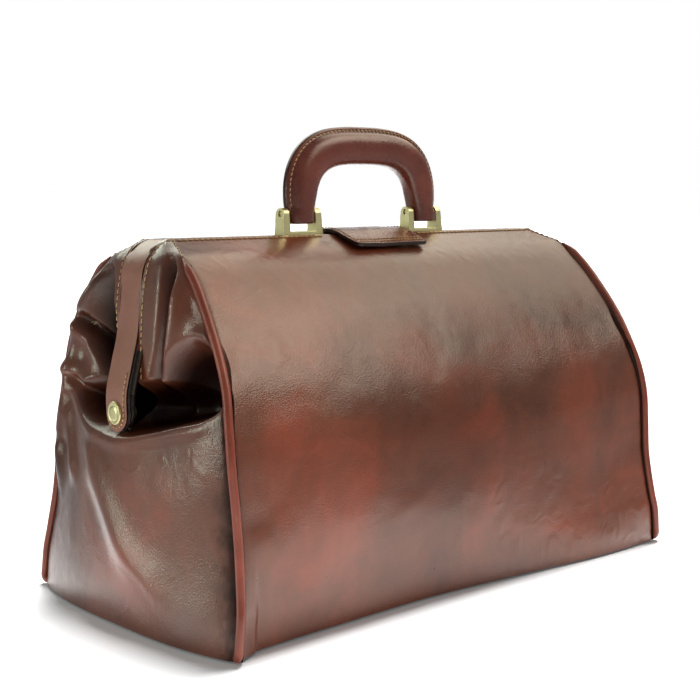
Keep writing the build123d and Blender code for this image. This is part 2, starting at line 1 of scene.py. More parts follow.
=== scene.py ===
"""The doctor bag's looks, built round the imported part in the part's own frame.

The bag is put together in the order it is made: leather panels and gussets, piping, straps and bars,
tab, lining, then the brass and the handle. Lengths are millimetres until a mesh is made, and every
surface is given for one half of the bag and mirrored where the other half is the same.
"""
import math
import bpy
import numpy as np
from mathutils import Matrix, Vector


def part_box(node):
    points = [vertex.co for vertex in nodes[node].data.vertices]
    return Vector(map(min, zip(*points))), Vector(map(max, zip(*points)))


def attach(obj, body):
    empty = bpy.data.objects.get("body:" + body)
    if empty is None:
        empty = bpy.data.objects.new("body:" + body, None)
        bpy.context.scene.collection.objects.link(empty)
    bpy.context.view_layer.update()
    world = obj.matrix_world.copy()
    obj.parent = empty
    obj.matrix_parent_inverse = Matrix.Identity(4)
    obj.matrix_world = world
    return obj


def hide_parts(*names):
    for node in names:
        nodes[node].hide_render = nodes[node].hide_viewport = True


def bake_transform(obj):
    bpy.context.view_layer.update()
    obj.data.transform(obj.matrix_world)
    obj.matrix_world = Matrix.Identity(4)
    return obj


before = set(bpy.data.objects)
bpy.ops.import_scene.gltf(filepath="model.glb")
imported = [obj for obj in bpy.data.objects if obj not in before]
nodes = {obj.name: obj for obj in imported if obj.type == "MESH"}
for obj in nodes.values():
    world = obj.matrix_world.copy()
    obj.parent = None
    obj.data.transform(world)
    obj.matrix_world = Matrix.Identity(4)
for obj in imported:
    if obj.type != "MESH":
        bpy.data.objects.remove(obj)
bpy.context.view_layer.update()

# ---- Camera, floor and light.
# The bag stands on a white sweep in a light tent: soft white from above, behind and both sides, and
# a dimmer room in front of it. None of this is part of the bag.
MM = 0.001


def to_linear(code):
    """A linear RGBA colour from an sRGB hex code."""
    channels = [int(code[i:i + 2], 16) / 255 for i in (1, 3, 5)]
    return (*[c / 12.92 if c <= 0.04045 else ((c + 0.055) / 1.055) ** 2.4 for c in channels], 1.0)


def add_node(tree, kind, **values):
    """A new node with its properties set, and its input sockets where the name is a socket's."""
    node = tree.nodes.new(kind)
    for name, value in values.items():
        socket = name.replace("_", " ")
        if socket in node.inputs:
            node.inputs[socket].default_value = value
        else:
            setattr(node, name, value)
    return node


def new_material(name):
    """An empty node material and its tree, with the output node in place."""
    made = bpy.data.materials.new(name)
    made.use_nodes = True
    tree = made.node_tree
    tree.nodes.clear()
    return made, tree, add_node(tree, "ShaderNodeOutputMaterial")


def soft_light(name, place, target, size, watts, colour="#ffffff"):
    """A rectangular soft box at place, in metres, facing target."""
    lamp = bpy.data.lights.new(name, "AREA")
    lamp.shape = "RECTANGLE"
    lamp.size, lamp.size_y = size
    lamp.energy = watts
    lamp.color = to_linear(colour)[:3]
    box = bpy.data.objects.new(name, lamp)
    bpy.context.scene.collection.objects.link(box)
    box.location = place
    away = np.array(place, float) - np.array(target, float)
    away /= np.linalg.norm(away)
    turn_z = math.atan2(away[0], -away[1])
    box.rotation_euler = (math.acos(away[2]), 0, turn_z)


camera_data = bpy.data.cameras.new("camera")
camera_data.lens = 66.0
camera_data.sensor_width = 36.0
camera = bpy.data.objects.new("camera", camera_data)
bpy.context.scene.collection.objects.link(camera)
bpy.context.scene.camera = camera
camera.location = (-0.6348, -0.7167, 0.2634)
camera.rotation_euler = (math.radians(83.88), math.radians(0.92), math.radians(-41.25))

world = bpy.data.worlds.new("light_tent")
bpy.context.scene.world = world
world.use_nodes = True
sky = world.node_tree
sky.nodes.clear()
sky_out = add_node(sky, "ShaderNodeOutputWorld")
sky_light = add_node(sky, "ShaderNodeBackground", Color=(1, 1, 1, 1))
sky_way = add_node(sky, "ShaderNodeTexCoord")
sky_front = add_node(sky, "ShaderNodeVectorMath", operation="DOT_PRODUCT")
sky_front.inputs[1].default_value = (0.656, 0.748, -0.107)
sky_share = add_node(sky, "ShaderNodeMapRange", interpolation_type="SMOOTHSTEP", From_Min=0.86,
                     From_Max=0.932, To_Min=0.22, To_Max=1.0)
sky.links.new(sky_way.outputs["Generated"], sky_front.inputs[0])
sky.links.new(sky_front.outputs["Value"], sky_share.inputs["Value"])
sky.links.new(sky_share.outputs["Result"], sky_light.inputs["Strength"])
sky.links.new(sky_light.outputs["Background"], sky_out.inputs["Surface"])

# One box lights the panel's upper slope, one the back and the rim, one puts the gloss on the left gusset,
# and one fills the front. A broad ceiling light, further down, reaches the floor alone for the shadow.
soft_light("overhead_box", (0.9, 0.1, 1.3), (0, 0, 0.15), (1.5, 1.2), 11, "#fff3dc")
soft_light("back_box", (0.1, 1.5, 1.3), (0, 0, 0.2), (1.5, 0.8), 14, "#f8fff0")
soft_light("left_box", (-1.75, 0.85, 0.32), (-0.1, 0, 0.10), (0.35, 1.0), 8.5, "#f6fff2")
soft_light("front_fill", (1.1, -1.4, 1.6), (0.1, 0, 0.15), (1.4, 1.2), 21, "#fff4e4")

floor_material, floor_tree, floor_out = new_material("white_paper_sweep")
floor_paper = add_node(floor_tree, "ShaderNodeBsdfPrincipled", Roughness=0.9, Emission_Color=(1, 1, 1, 1),
                       Emission_Strength=0.06)
floor_place = add_node(floor_tree, "ShaderNodeTexCoord")
# The paper is white between the camera's left and right limits of view and darker beyond them, so that
# the leather doesn't mirror a glare from the sides. Each limit is a vertical plane: its normal and offset.
floor_sides = []
for across, offset in (((0.895, -0.435, 0), 0.256), ((-0.552, 0.834, 0), 0.247)):
    inside = add_node(floor_tree, "ShaderNodeVectorMath", operation="DOT_PRODUCT")
    inside.inputs[1].default_value = across
    shade = add_node(floor_tree, "ShaderNodeMapRange", From_Min=-0.16 - offset, From_Max=-0.02 - offset)
    floor_tree.links.new(floor_place.outputs["Object"], inside.inputs[0])
    floor_tree.links.new(inside.outputs["Value"], shade.inputs["Value"])
    floor_sides.append(shade.outputs["Result"])
floor_lit = add_node(floor_tree, "ShaderNodeMath", operation="MINIMUM")
floor_tone = add_node(floor_tree, "ShaderNodeMix", data_type="RGBA", A=(0.20, 0.20, 0.20, 1),
                      B=(0.94, 0.94, 0.94, 1))
floor_tree.links.new(floor_sides[0], floor_lit.inputs[0])
floor_tree.links.new(floor_sides[1], floor_lit.inputs[1])
floor_tree.links.new(floor_lit.outputs["Value"], floor_tone.inputs["Factor"])
floor_tree.links.new(floor_tone.outputs["Result"], floor_paper.inputs["Base Color"])
floor_grain = add_node(floor_tree, "ShaderNodeTexNoise", Scale=900.0)
floor_bump = add_node(floor_tree, "ShaderNodeBump", Strength=0.02, Distance=0.0002)
floor_tree.links.new(floor_grain.outputs["Fac"], floor_bump.inputs["Height"])
floor_tree.links.new(floor_bump.outputs["Normal"], floor_paper.inputs["Normal"])
floor_tree.links.new(floor_paper.outputs["BSDF"], floor_out.inputs["Surface"])
bpy.ops.mesh.primitive_plane_add(size=60, location=(0, 0, -0.0006))
floor = bpy.context.object
floor.name = "floor"
floor.data.materials.append(floor_material)
sun = bpy.data.lights.new("ceiling_light", "SUN")
sun.energy = 5.9
sun.angle = math.radians(18)
ceiling = bpy.data.objects.new("ceiling_light", sun)
bpy.context.scene.collection.objects.link(ceiling)
ceiling.rotation_euler = (math.radians(-8), math.radians(15), 0)
only_floor = bpy.data.collections.new("only_floor")
only_floor.objects.link(floor)
ceiling.light_linking.receiver_collection = only_floor
not_floor = bpy.data.collections.new("not_floor")
not_floor.objects.link(floor)
not_floor.collection_objects[0].light_linking.link_state = "EXCLUDE"
for lamp_name in ("overhead_box", "back_box", "front_fill"):
    bpy.data.objects[lamp_name].light_linking.receiver_collection = not_floor
bpy.context.scene.view_settings.view_transform = "Standard"


# ---- Leathers.
# Vegetable-tanned cowhide, dyed by hand, so the red ground shows through a dark brown wash, then
# polished: a fine grain, a glossy skin and a few creases. Cut edges are burnished nearly black.
def leather(name, dark, mid, bright, patch=90, gloss=0.28, coat=0.35, grain=0.30, crease=0.3):
    """Polished leather: dye patches of about `patch` mm, a 1 mm grain, and creases where told to.

    Real pores are about 0.2 mm; they are drawn at 1 mm so that they show. The stain layer darkens the dye
    and leaves the skin dry there, for burnished rims and dye patches and as painted shade; below zero it
    lightens the dye, for redder patches and as a painted highlight."""
    made, tree, out = new_material(name)
    link = tree.links.new
    place = add_node(tree, "ShaderNodeTexCoord").outputs["Object"]
    stain_and_painted_light = add_node(tree, "ShaderNodeAttribute", attribute_name="stain_and_painted_light")
    wash = add_node(tree, "ShaderNodeTexNoise", Scale=1000 / patch, Detail=5.0, Roughness=0.58,
                    Distortion=0.5)
    ramp = add_node(tree, "ShaderNodeValToRGB")
    ramp.color_ramp.elements[0].position = 0.18
    ramp.color_ramp.elements[0].color = to_linear(dark)
    ramp.color_ramp.elements[1].position = 0.84
    ramp.color_ramp.elements[1].color = to_linear(bright)
    ramp.color_ramp.elements.new(0.52).color = to_linear(mid)
    share = add_node(tree, "ShaderNodeMath", operation="ADD")
    darker = add_node(tree, "ShaderNodeMix", data_type="RGBA", blend_type="MULTIPLY")
    darker.inputs["B"].default_value = (0.10, 0.045, 0.035, 1)
    below = add_node(tree, "ShaderNodeMath", operation="MAXIMUM")
    below.inputs[1].default_value = 0.0
    above = add_node(tree, "ShaderNodeMath", operation="MULTIPLY")
    above.inputs[1].default_value = -0.16
    shell = add_node(tree, "ShaderNodeBsdfPrincipled", Coat_Roughness=0.15,
                     Specular_Tint=(1.0, 0.93, 0.80, 1))
    dry_coat = add_node(tree, "ShaderNodeMapRange", To_Min=coat, To_Max=0.02)
    dry_skin = add_node(tree, "ShaderNodeMapRange", To_Min=0.5, To_Max=0.10)
    rough = add_node(tree, "ShaderNodeMapRange", To_Min=gloss - 0.05, To_Max=gloss + 0.14)
    small = add_node(tree, "ShaderNodeTexNoise", Scale=160.0, Detail=3.0)
    pores = add_node(tree, "ShaderNodeTexVoronoi", Scale=1000.0, feature="F1")
    pore_bump = add_node(tree, "ShaderNodeBump", Strength=grain, Distance=0.0003)
    lines = add_node(tree, "ShaderNodeTexNoise", Scale=46.0, Detail=4.0, Roughness=0.6, Distortion=1.4)
    lines.noise_type = "RIDGED_MULTIFRACTAL"
    creased = add_node(tree, "ShaderNodeAttribute", attribute_name="crease")
    amount = add_node(tree, "ShaderNodeMath", operation="MULTIPLY")
    line_bump = add_node(tree, "ShaderNodeBump", Distance=0.0012)
    waves = add_node(tree, "ShaderNodeTexNoise", Scale=28.0, Detail=2.0)
    wave_bump = add_node(tree, "ShaderNodeBump", Strength=0.35, Distance=0.0016)
    for texture in (wash, small, pores, lines, waves):
        link(place, texture.inputs["Vector"])
    link(wash.outputs["Fac"], share.inputs[0])
    link(stain_and_painted_light.outputs["Fac"], above.inputs[0])
    link(above.outputs["Value"], share.inputs[1])
    link(share.outputs["Value"], ramp.inputs["Fac"])
    link(stain_and_painted_light.outputs["Fac"], below.inputs[0])
    link(below.outputs["Value"], darker.inputs["Factor"])
    link(ramp.outputs["Color"], darker.inputs["A"])
    link(darker.outputs["Result"], shell.inputs["Base Color"])
    link(below.outputs["Value"], dry_coat.inputs["Value"])
    link(dry_coat.outputs["Result"], shell.inputs["Coat Weight"])
    link(below.outputs["Value"], dry_skin.inputs["Value"])
    link(dry_skin.outputs["Result"], shell.inputs["Specular IOR Level"])
    link(small.outputs["Fac"], rough.inputs["Value"])
    link(rough.outputs["Result"], shell.inputs["Roughness"])
    link(waves.outputs["Fac"], wave_bump.inputs["Height"])
    link(lines.outputs["Fac"], line_bump.inputs["Height"])
    link(creased.outputs["Fac"], amount.inputs[0])
    amount.inputs[1].default_value = crease
    link(amount.outputs["Value"], line_bump.inputs["Strength"])
    link(wave_bump.outputs["Normal"], line_bump.inputs["Normal"])
    link(pores.outputs["Distance"], pore_bump.inputs["Height"])
    link(line_bump.outputs["Normal"], pore_bump.inputs["Normal"])
    link(pore_bump.outputs["Normal"], shell.inputs["Normal"])
    link(pore_bump.outputs["Normal"], shell.inputs["Coat Normal"])
    link(shell.outputs["BSDF"], out.inputs["Surface"])
    return made


# The walls are patchy brown over red, with a high polish. The straps are paler and flatter from rubbing,
# the handle and tab deeper red and waxed by the palm, the piping redder with half the shine, and the cut
# edges nearly black.
hide = leather("polished_cowhide_brown", "#40231a", "#6b3622", "#94402a", patch=75, coat=0.5, crease=0.5)
strap_hide = leather("polished_strap_cowhide", "#7a4836", "#915e4c", "#a3725e", 60, gloss=0.34, coat=0.25)
handle_hide = leather("padded_handle_cowhide", "#4e2117", "#662c20", "#7a3a2b", 50, gloss=0.24, coat=0.5)
piping_hide = leather("rolled_piping_leather", "#6b281c", "#853a2a", "#9b503c", 40, gloss=0.34, coat=0.2)
burnished = leather("burnished_leather_edge", "#160806", "#22100a", "#2e170e", 20, gloss=0.4, coat=0.1)


def fibre_material(name, colour, other, pitch, bump, roughness):
    """Woven or pressed fibres: a raised cell every `pitch` mm over a slightly uneven colour."""
    made, tree, out = new_material(name)
    link = tree.links.new
    place = add_node(tree, "ShaderNodeTexCoord").outputs["Object"]
    uneven = add_node(tree, "ShaderNodeTexNoise", Scale=1000 / (pitch * 12), Detail=4.0)
    tint = add_node(tree, "ShaderNodeMix", data_type="RGBA", A=to_linear(colour), B=to_linear(other))
    weave = add_node(tree, "ShaderNodeTexVoronoi", Scale=1000 / pitch)
    raised = add_node(tree, "ShaderNodeBump", Strength=bump, Distance=0.0003)
    shell = add_node(tree, "ShaderNodeBsdfPrincipled", Roughness=roughness)
    link(place, uneven.inputs["Vector"])
    link(place, weave.inputs["Vector"])
    link(uneven.outputs["Fac"], tint.inputs["Factor"])
    link(tint.outputs["Result"], shell.inputs["Base Color"])
    link(weave.outputs["Distance"], raised.inputs["Height"])
    link(raised.outputs["Normal"], shell.inputs["Normal"])
    link(shell.outputs["BSDF"], out.inputs["Surface"])
    return made


# The thread is pale gold and a little shiny with wax, the lining a dull drab twill, the board flat and
# brown like card.
thread = fibre_material("waxed_linen_thread", "#e2bf8b", "#c39a66", 0.5, 0.4, 0.6)
# The needle holes are dark discs of painted shade, where the thread sinks into the leather.
needle_hole_shade = fibre_material("needle_hole_shadow", "#140805", "#1d0d08", 0.5, 0.2, 0.9)
lining_cloth = fibre_material("cotton_drill_lining", "#8d7a5f", "#7b6950", 0.7, 0.5, 0.9)
fibre_board = fibre_material("pressed_fibre_board", "#7d6a52", "#655440", 0.9, 0.3, 0.85)


# ---- Body panels, front and back.
# One piece of 1.8 mm hide each, sewn to the frame bar at the top, to the piping at both ends and
# under the base. The leather hangs between bar and base, so it bows out a little and sags at the foot.
panel_thickness = 1.8
foot_z = 0.8
bar_top = 248.2
bar_seam = (172.6, 13.4, bar_top)
end_line = [bar_seam, (178.5, 29.0, 242.4), (184.0, 44.0, 236.0), (187.1, 62.0, 220.0),
            (190.2, 78.0, 200.0), (192.7, 91.4, 180.0), (194.9, 101.3, 160.0), (198.4, 108.0, 140.0),
            (200.0, 112.0, 120.0), (199.6, 114.0, 95.0), (199.2, 115.5, 70.0), (201.1, 119.4, 40.0),
            (203.0, 121.5, 25.0),
            (205.5, 121.0, foot_z)]
rear_end_line = [bar_seam, (178.5, 29.0, 242.4), (184.0, 43.5, 236.0), (186.5, 60.0, 220.0),
                 (188.7, 75.0, 200.0), (190.3, 86.0, 180.0), (191.8, 91.5, 160.0), (194.0, 94.5, 142.0),
                 (196.0, 97.5, 120.0), (197.2, 100.0, 95.0), (198.3, 104.0, 70.0), (200.8, 111.0, 40.0),
                 (202.8, 113.5, 25.0),
                 (205.5, 114.0, foot_z)]
middle_line = [(13.4, bar_top), (44.0, 233.2), (60.0, 218.6), (78.0, 196.0), (92.0, 170.0), (103.0, 145.0),
               (110.0, 120.0), (113.5, 90.0), (114.0, 60.0), (112.5, 30.0), (111.0, foot_z)]
foot_line = [(-204, 121), (-188, 114), (-172, 110.5), (-61, 107), (-15, 108), (32, 112), (82, 117),
             (135, 122), (171, 122.5), (204, 121)]
magnet_z = 241


def curve_through(points, samples):
    """A smooth curve through the points, at evenly spaced samples.

    Between two points it is the cubic whose slope at each is half the step between its neighbours."""
    given = np.array(points, float)
    padded = np.vstack([2 * given[0] - given[1], given, 2 * given[-1] - given[-2]])
    along = np.linspace(0, len(given) - 1, len(given) * 30)
    low = np.minimum(along.astype(int), len(given) - 2)
    part = (along - low)[:, None]
    a, b, c, d = padded[low], padded[low + 1], padded[low + 2], padded[low + 3]
    bend = (2 * a - 5 * b + 4 * c - d) * part**2 + (3 * b - a - 3 * c + d) * part**3
    fine = 0.5 * (2 * b + (c - a) * part + bend)
    run = np.concatenate([[0], np.cumsum(np.linalg.norm(np.diff(fine, axis=0), axis=1))])
    stops = np.linspace(0, run[-1], samples)
    return np.stack([np.interp(stops, run, fine[:, k]) for k in range(given.shape[1])], axis=1)


def wander(u, v, size, seed):
    """Smooth random waves from -1 to 1 over two arrays in mm: seeded values on a lattice of that size,
    eased between lattice points."""
    lattice = np.random.default_rng(seed).uniform(-1, 1, (64, 64))
    a, b = u / size + 17.3, v / size + 23.7
    low_a, low_b = np.floor(a).astype(int), np.floor(b).astype(int)
    part_a, part_b = a - low_a, b - low_b
    part_a = part_a**2 * (3 - 2 * part_a)
    part_b = part_b**2 * (3 - 2 * part_b)
    corner = [[lattice[(low_a + i) % 64, (low_b + j) % 64] for j in (0, 1)] for i in (0, 1)]
    near = corner[0][0] * (1 - part_a) + corner[1][0] * part_a
    return near * (1 - part_b) + (corner[0][1] * (1 - part_a) + corner[1][1] * part_a) * part_b


def ease(value, start, end):
    """0 before start, 1 past end, and an S-curve between them."""
    share = np.clip((value - start) / (end - start), 0, 1)
    return share * share * (3 - 2 * share)


def normals_of(grid):
    """Unit normals of a grid of points: the cross product of the steps along its rows and columns."""
    across = np.cross(np.gradient(grid, axis=1), np.gradient(grid, axis=0))
    return across / np.maximum(np.linalg.norm(across, axis=2, keepdims=True), 1e-9)


def make_mesh(name, points, faces, materials, layers=None, smooth=True):
    """A mesh object from points in mm and faces, with optional values per point."""
    mesh = bpy.data.meshes.new(name)
    mesh.from_pydata((points * MM).tolist(), [], faces.tolist() if hasattr(faces, "tolist") else faces)
    mesh.validate()
    for layer, values in (layers or {}).items():
        new_layer = mesh.attributes.new(layer, "FLOAT", "POINT")
        new_layer.data.foreach_set("value", np.ravel(values).astype(np.float32))
    for material in materials:
        mesh.materials.append(material)
    mesh.polygons.foreach_set("use_smooth", [smooth] * len(mesh.polygons))
    made = bpy.data.objects.new(name, mesh)
    bpy.context.scene.collection.objects.link(made)
    return made


def grid_faces(rows, columns, closed=False):
    """Four-sided faces between neighbouring rows and columns; closed joins the last column to the first
    one."""
    across = columns if closed else columns - 1
    r, c = np.meshgrid(np.arange(rows - 1), np.arange(across), indexing="ij")
    following = (c + 1) % columns
    near, far = r * columns, (r + 1) * columns
    return np.stack([near + c, near + following, far + following, far + c]).reshape(4, -1).T


def ring_faces(rings, sides):
    """The faces of a closed tube made of rings of points, with one face over each end."""
    last = (rings - 1) * sides
    ends = [list(range(sides))[::-1], [last + i for i in range(sides)]]
    return grid_faces(rings, sides, closed=True).tolist() + ends


def sheet_piece(name, grid, outward, thickness, materials, layers=None, rounding=0.0):
    """A sheet cut from leather or cloth: the grid is its outer face, and it is `thickness` mm thick
    inward.

    outward is a rough direction of its outer side. The rim takes the last material, and rounding is the
    wear on its edges in mm."""
    faces = grid_faces(*grid.shape[:2])
    if np.mean(normals_of(grid) @ np.array(outward, float)) < 0:
        faces = faces[:, ::-1]
    made = make_mesh(name, grid.reshape(-1, 3), faces, materials, layers)
    rows, columns = grid.shape[:2]
    ends = np.zeros(len(made.data.edges) * 2, int)
    made.data.edges.foreach_get("vertices", ends)
    row, column = ends.reshape(-1, 2) // columns, ends.reshape(-1, 2) % columns
    border = np.zeros(len(made.data.edges), bool)
    for line, last in ((row, rows - 1), (column, columns - 1)):
        border |= (line == 0).all(axis=1) | (line == last).all(axis=1)
    made.data.attributes.new("sharp_edge", "BOOLEAN", "EDGE").data.foreach_set("value", border)
    thick = made.modifiers.new("thickness", "SOLIDIFY")
    thick.thickness = thickness * MM
    thick.offset = -1
    thick.material_offset_rim = len(materials) - 1
    if rounding:
        edge = made.modifiers.new("worn_edge", "BEVEL")
        edge.width = rounding * MM
        edge.segments = 2
        edge.angle_limit = math.radians(50)
    return made


def end_points(facing, samples=400):
    """The line where panel and gusset meet, from top to base: |X|, |Y| and Z. The back's is drawn in
    more."""
    return curve_through(end_line if facing < 0 else rear_end_line, samples)


def end_at(facing, z):
    """|X| and |Y| of that line at the heights z."""
    line = end_points(facing)[::-1]
    return np.interp(z, line[:, 2], line[:, 0]), np.interp(z, line[:, 2], line[:, 1])


middle = curve_through(middle_line, 400)[::-1]


def panel_grid(facing, rows=150, columns=231):
    """One body panel. facing is -1 for the front and 1 for the back.

    Depth goes from the end line's at both ends to the middle line's, by the cube of the distance from
    the middle; the foot follows its own line and fades out 75 mm up; small waves and the tuck beside
    the piping are added last. Columns crowd a little toward both ends."""
    line = end_points(facing, rows)
    share = np.linspace(-1, 1, columns)
    share = 0.75 * share + 0.25 * np.sin(share * math.pi / 2)
    z = line[:, 2][:, None] + 0 * share
    x = line[:, 0][:, None] * share
    edge = np.abs(share)**3
    depth = line[:, 1][:, None] * edge + np.interp(z, middle[:, 1], middle[:, 0]) * (1 - edge)
    foot = curve_through([(float(a), float(b)) for a, b in foot_line], 300)
    edge_foot = (foot[0, 1] - line[-1, 1]) * np.abs(share)**8
    depth = depth + (np.interp(x, foot[:, 0], foot[:, 1]) - edge_foot - depth[-1]) * (1 - ease(z, 0, 75))
    from_end = (1 - np.abs(share)) * line[:, 0][:, None]
    free = ease(z, 3, 25) * ease(248 - z, 2, 40) * ease(from_end, 0, 25)
    waves = 0.9 * wander(x, z, 62, 3) + 0.45 * wander(x, z, 27, 4) + 0.15 * wander(x, z, 11, 5)
    depth = depth + free * waves
    beside = np.exp(-((from_end - 14) / 9)**2) * ease(z, 30, 90) * ease(244 - z, 2, 30)
    depth = depth + beside * (0.9 * wander(x * 0, z, 19, 8) + 0.4)
    tuck = np.exp(-(from_end / 2.6)**2) * ease(240 - z, 0, 14)
    depth = depth - 2.6 * tuck
    return np.stack([x, facing * depth, z], axis=2), from_end


def painted_seam_shade(distance, z, reach, seed):
    """Painted shade in the groove beside a seam: full at it and gone about `reach` mm away, along a
    ragged line."""
    ragged = reach * (1 + 0.35 * wander(z, z * 0, 7, seed) + 0.25 * wander(z, distance, 2.5, seed + 1))
    return np.exp(-(distance / ragged)**2)


def make_panel(name, facing, covers):
    """One panel, with painted shade beside the piping and dye patches in its stain layer, and its crease
    layer. The front one rises a little over the magnet behind it."""
    grid, from_end = panel_grid(facing)
    x, z = grid[..., 0], grid[..., 2]
    # The stain layer: painted shade in the groove beside the piping, then two patches of darker dye and one
    # redder patch.
    stain_and_painted_light = 0.75 * painted_seam_shade(from_end, z, 4.0, 31) * ease(244 - z, 0, 20)
    rubbed = np.exp(-(((x + 20) / 95)**2 + ((z - 120) / 70)**2))
    stain_and_painted_light = stain_and_painted_light + 0.30 * rubbed + 0.25 * np.exp(-((x - 120) / 90)**2 - ((z - 190) / 60)**2)
    redder = np.exp(-((x + 165) / 45)**2 - ((z - 80) / 80)**2) * (1 - np.exp(-(from_end / 4)**2))
    stain_and_painted_light = stain_and_painted_light - 0.6 * redder
    crease = 0.25 + 0.75 * ease(110 - z, 0, 60) * ease(x, -60, 90) + 0.6 * np.exp(-((z - 236) / 14)**2)
    grid = grid.copy()
    grid[..., 1] -= facing * 0.2
    if facing < 0:
        grid[..., 1] -= 0.8 * np.exp(-(x / 13)**2 - ((z - magnet_z) / 8)**2)
    panel = sheet_piece(name, grid, (0, facing, 0.2), panel_thickness, [hide, burnished],
                        {"stain_and_painted_light": stain_and_painted_light, "crease": crease})
    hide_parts(*covers)
    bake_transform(panel)
    return panel


make_panel("front_panel", -1, ["front_panel_lower", "front_panel_upper"])
make_panel("back_panel", 1, ["back_panel_lower", "back_panel_upper"])


# ---- End gussets.
# One soft piece of the same hide at each end, sewn to both panels and folded in under the strap as the
# mouth closes. The fold leaves a pleat beside the strap, a dome, a deep hollow, and a rolled lip under
# the rivet. Each end is made in two halves, one for each jaw, that meet on the middle line.
strap_half = 12.4
seam_reach = strap_half + 3.0
lip_z = 122.2
seam_line = [(174.0, bar_top), (178.8, 246.3), (183.8, 243.2), (187.3, 239.2), (190.9, 233.7), (193.1, 226.5),
             (194.9, 218.9), (196.7, 206.8), (198.1, 190.6), (199.0, 176.6), (199.5, 162.5), (199.6, 140.0)]
bulge_line = [(219.6, foot_z), (220.6, 14.0), (220.2, 30.0), (218.2, 60.0), (215.6, 90.0), (213.0, 108.0),
              (211.0, 118.0), (209.6, 130.0), (207.0, 145.0), (205.0, 160.0)]
front_lip = [(0, lip_z), (18, 124.5), (42, 129.8), (65, 135.5), (86, 140.3), (102, 148), (113, 160),
             (125, 172)]
rear_lip = [(0, lip_z), (6.4, 122.4), (18, 123.5), (34, 127), (50, 134), (66, 146), (80, 152), (96, 153),
            (125, 154)]


def fold(y, z, line, widths, height):
    """A soft fold along a line of (y, z) points: height on the line, falling as a bell curve.

    For a line that runs down, widths are the bell's on the strap's side and on the piping's; for one
    that runs toward the strap, above and below. It fades over the first and last quarter."""
    track = curve_through(line, 60)
    step = np.gradient(track, axis=0)
    step /= np.linalg.norm(step, axis=1, keepdims=True)
    away_y = y[..., None] - track[:, 0]
    away_z = z[..., None] - track[:, 1]
    squared = away_y**2 + away_z**2
    nearest = np.argmin(squared, axis=-1)
    distance = np.sqrt(np.take_along_axis(squared, nearest[..., None], -1)[..., 0])
    side = step[nearest, 0] * np.take_along_axis(away_z, nearest[..., None], -1)[..., 0]
    side = side - step[nearest, 1] * np.take_along_axis(away_y, nearest[..., None], -1)[..., 0]
    width = widths[0] + (widths[1] - widths[0]) * ease(side, -1.0, 1.0)
    share = nearest / 59
    return height * np.exp(-(distance / width)**2) * ease(share, -0.05, 0.25) * ease(1 - share, -0.05, 0.25)


def hollow(y, z, centre, radii, depth, lean=0.0):
    """A round-bottomed dent: depth at its centre, easing to nothing at the given radii; lean tilts it."""
    across = y - centre[0] - lean * (z - centre[1])
    inside = np.clip(1 - (across / radii[0])**2 - ((z - centre[1]) / radii[1])**2, 0, 1)
    return depth * inside**1.5


front_folds = [
    ([(34, 240), (37, 233), (41, 217), (41, 195), (37.7, 174), (31.5, 158), (28, 148)], (5.5, 3.0), -15.0),
    ([(46, 230), (47.5, 216), (48.5, 200), (46, 185), (39.5, 166), (33, 152)], (3.0, 8.0), 3.4),
    ([(60, 190), (76, 188), (89, 181), (97, 168), (97.5, 152)], (6.0, 6.0), 2.6),
    ([(58, 214), (72, 203), (84, 192)], (7.0, 7.0), -1.4),
]
rear_folds = [
    ([(31, 232), (30, 216), (28, 197), (24.5, 180), (23.5, 166), (24, 150)], (4.0, 10.0), -17.0),
    ([(70, 200), (62, 193), (45, 179), (33, 166), (26, 155)], (5.5, 5.0), -10.0),
    ([(84, 192), (66, 188), (50, 174), (38, 157)], (4.5, 7.0), 3.5),
    ([(40, 230), (47, 218), (62, 204), (78, 200)], (5.0, 5.0), 3.0),
    ([(98, 157), (80, 159), (65, 157), (50, 149.5), (36.5, 139)], (7.0, 4.5), 5.0),
    ([(69, 141), (70.6, 122), (61, 99), (50, 84)], (8.0, 9.0), 3.5),
    ([(94, 112), (80, 108), (66, 103)], (4.0, 4.0), -1.6),
]


long_fold = [(50, 128), (40, 118), (24, 98), (3, 76), (-17, 52), (-44, 36), (-54, 24), (-60, 8)]


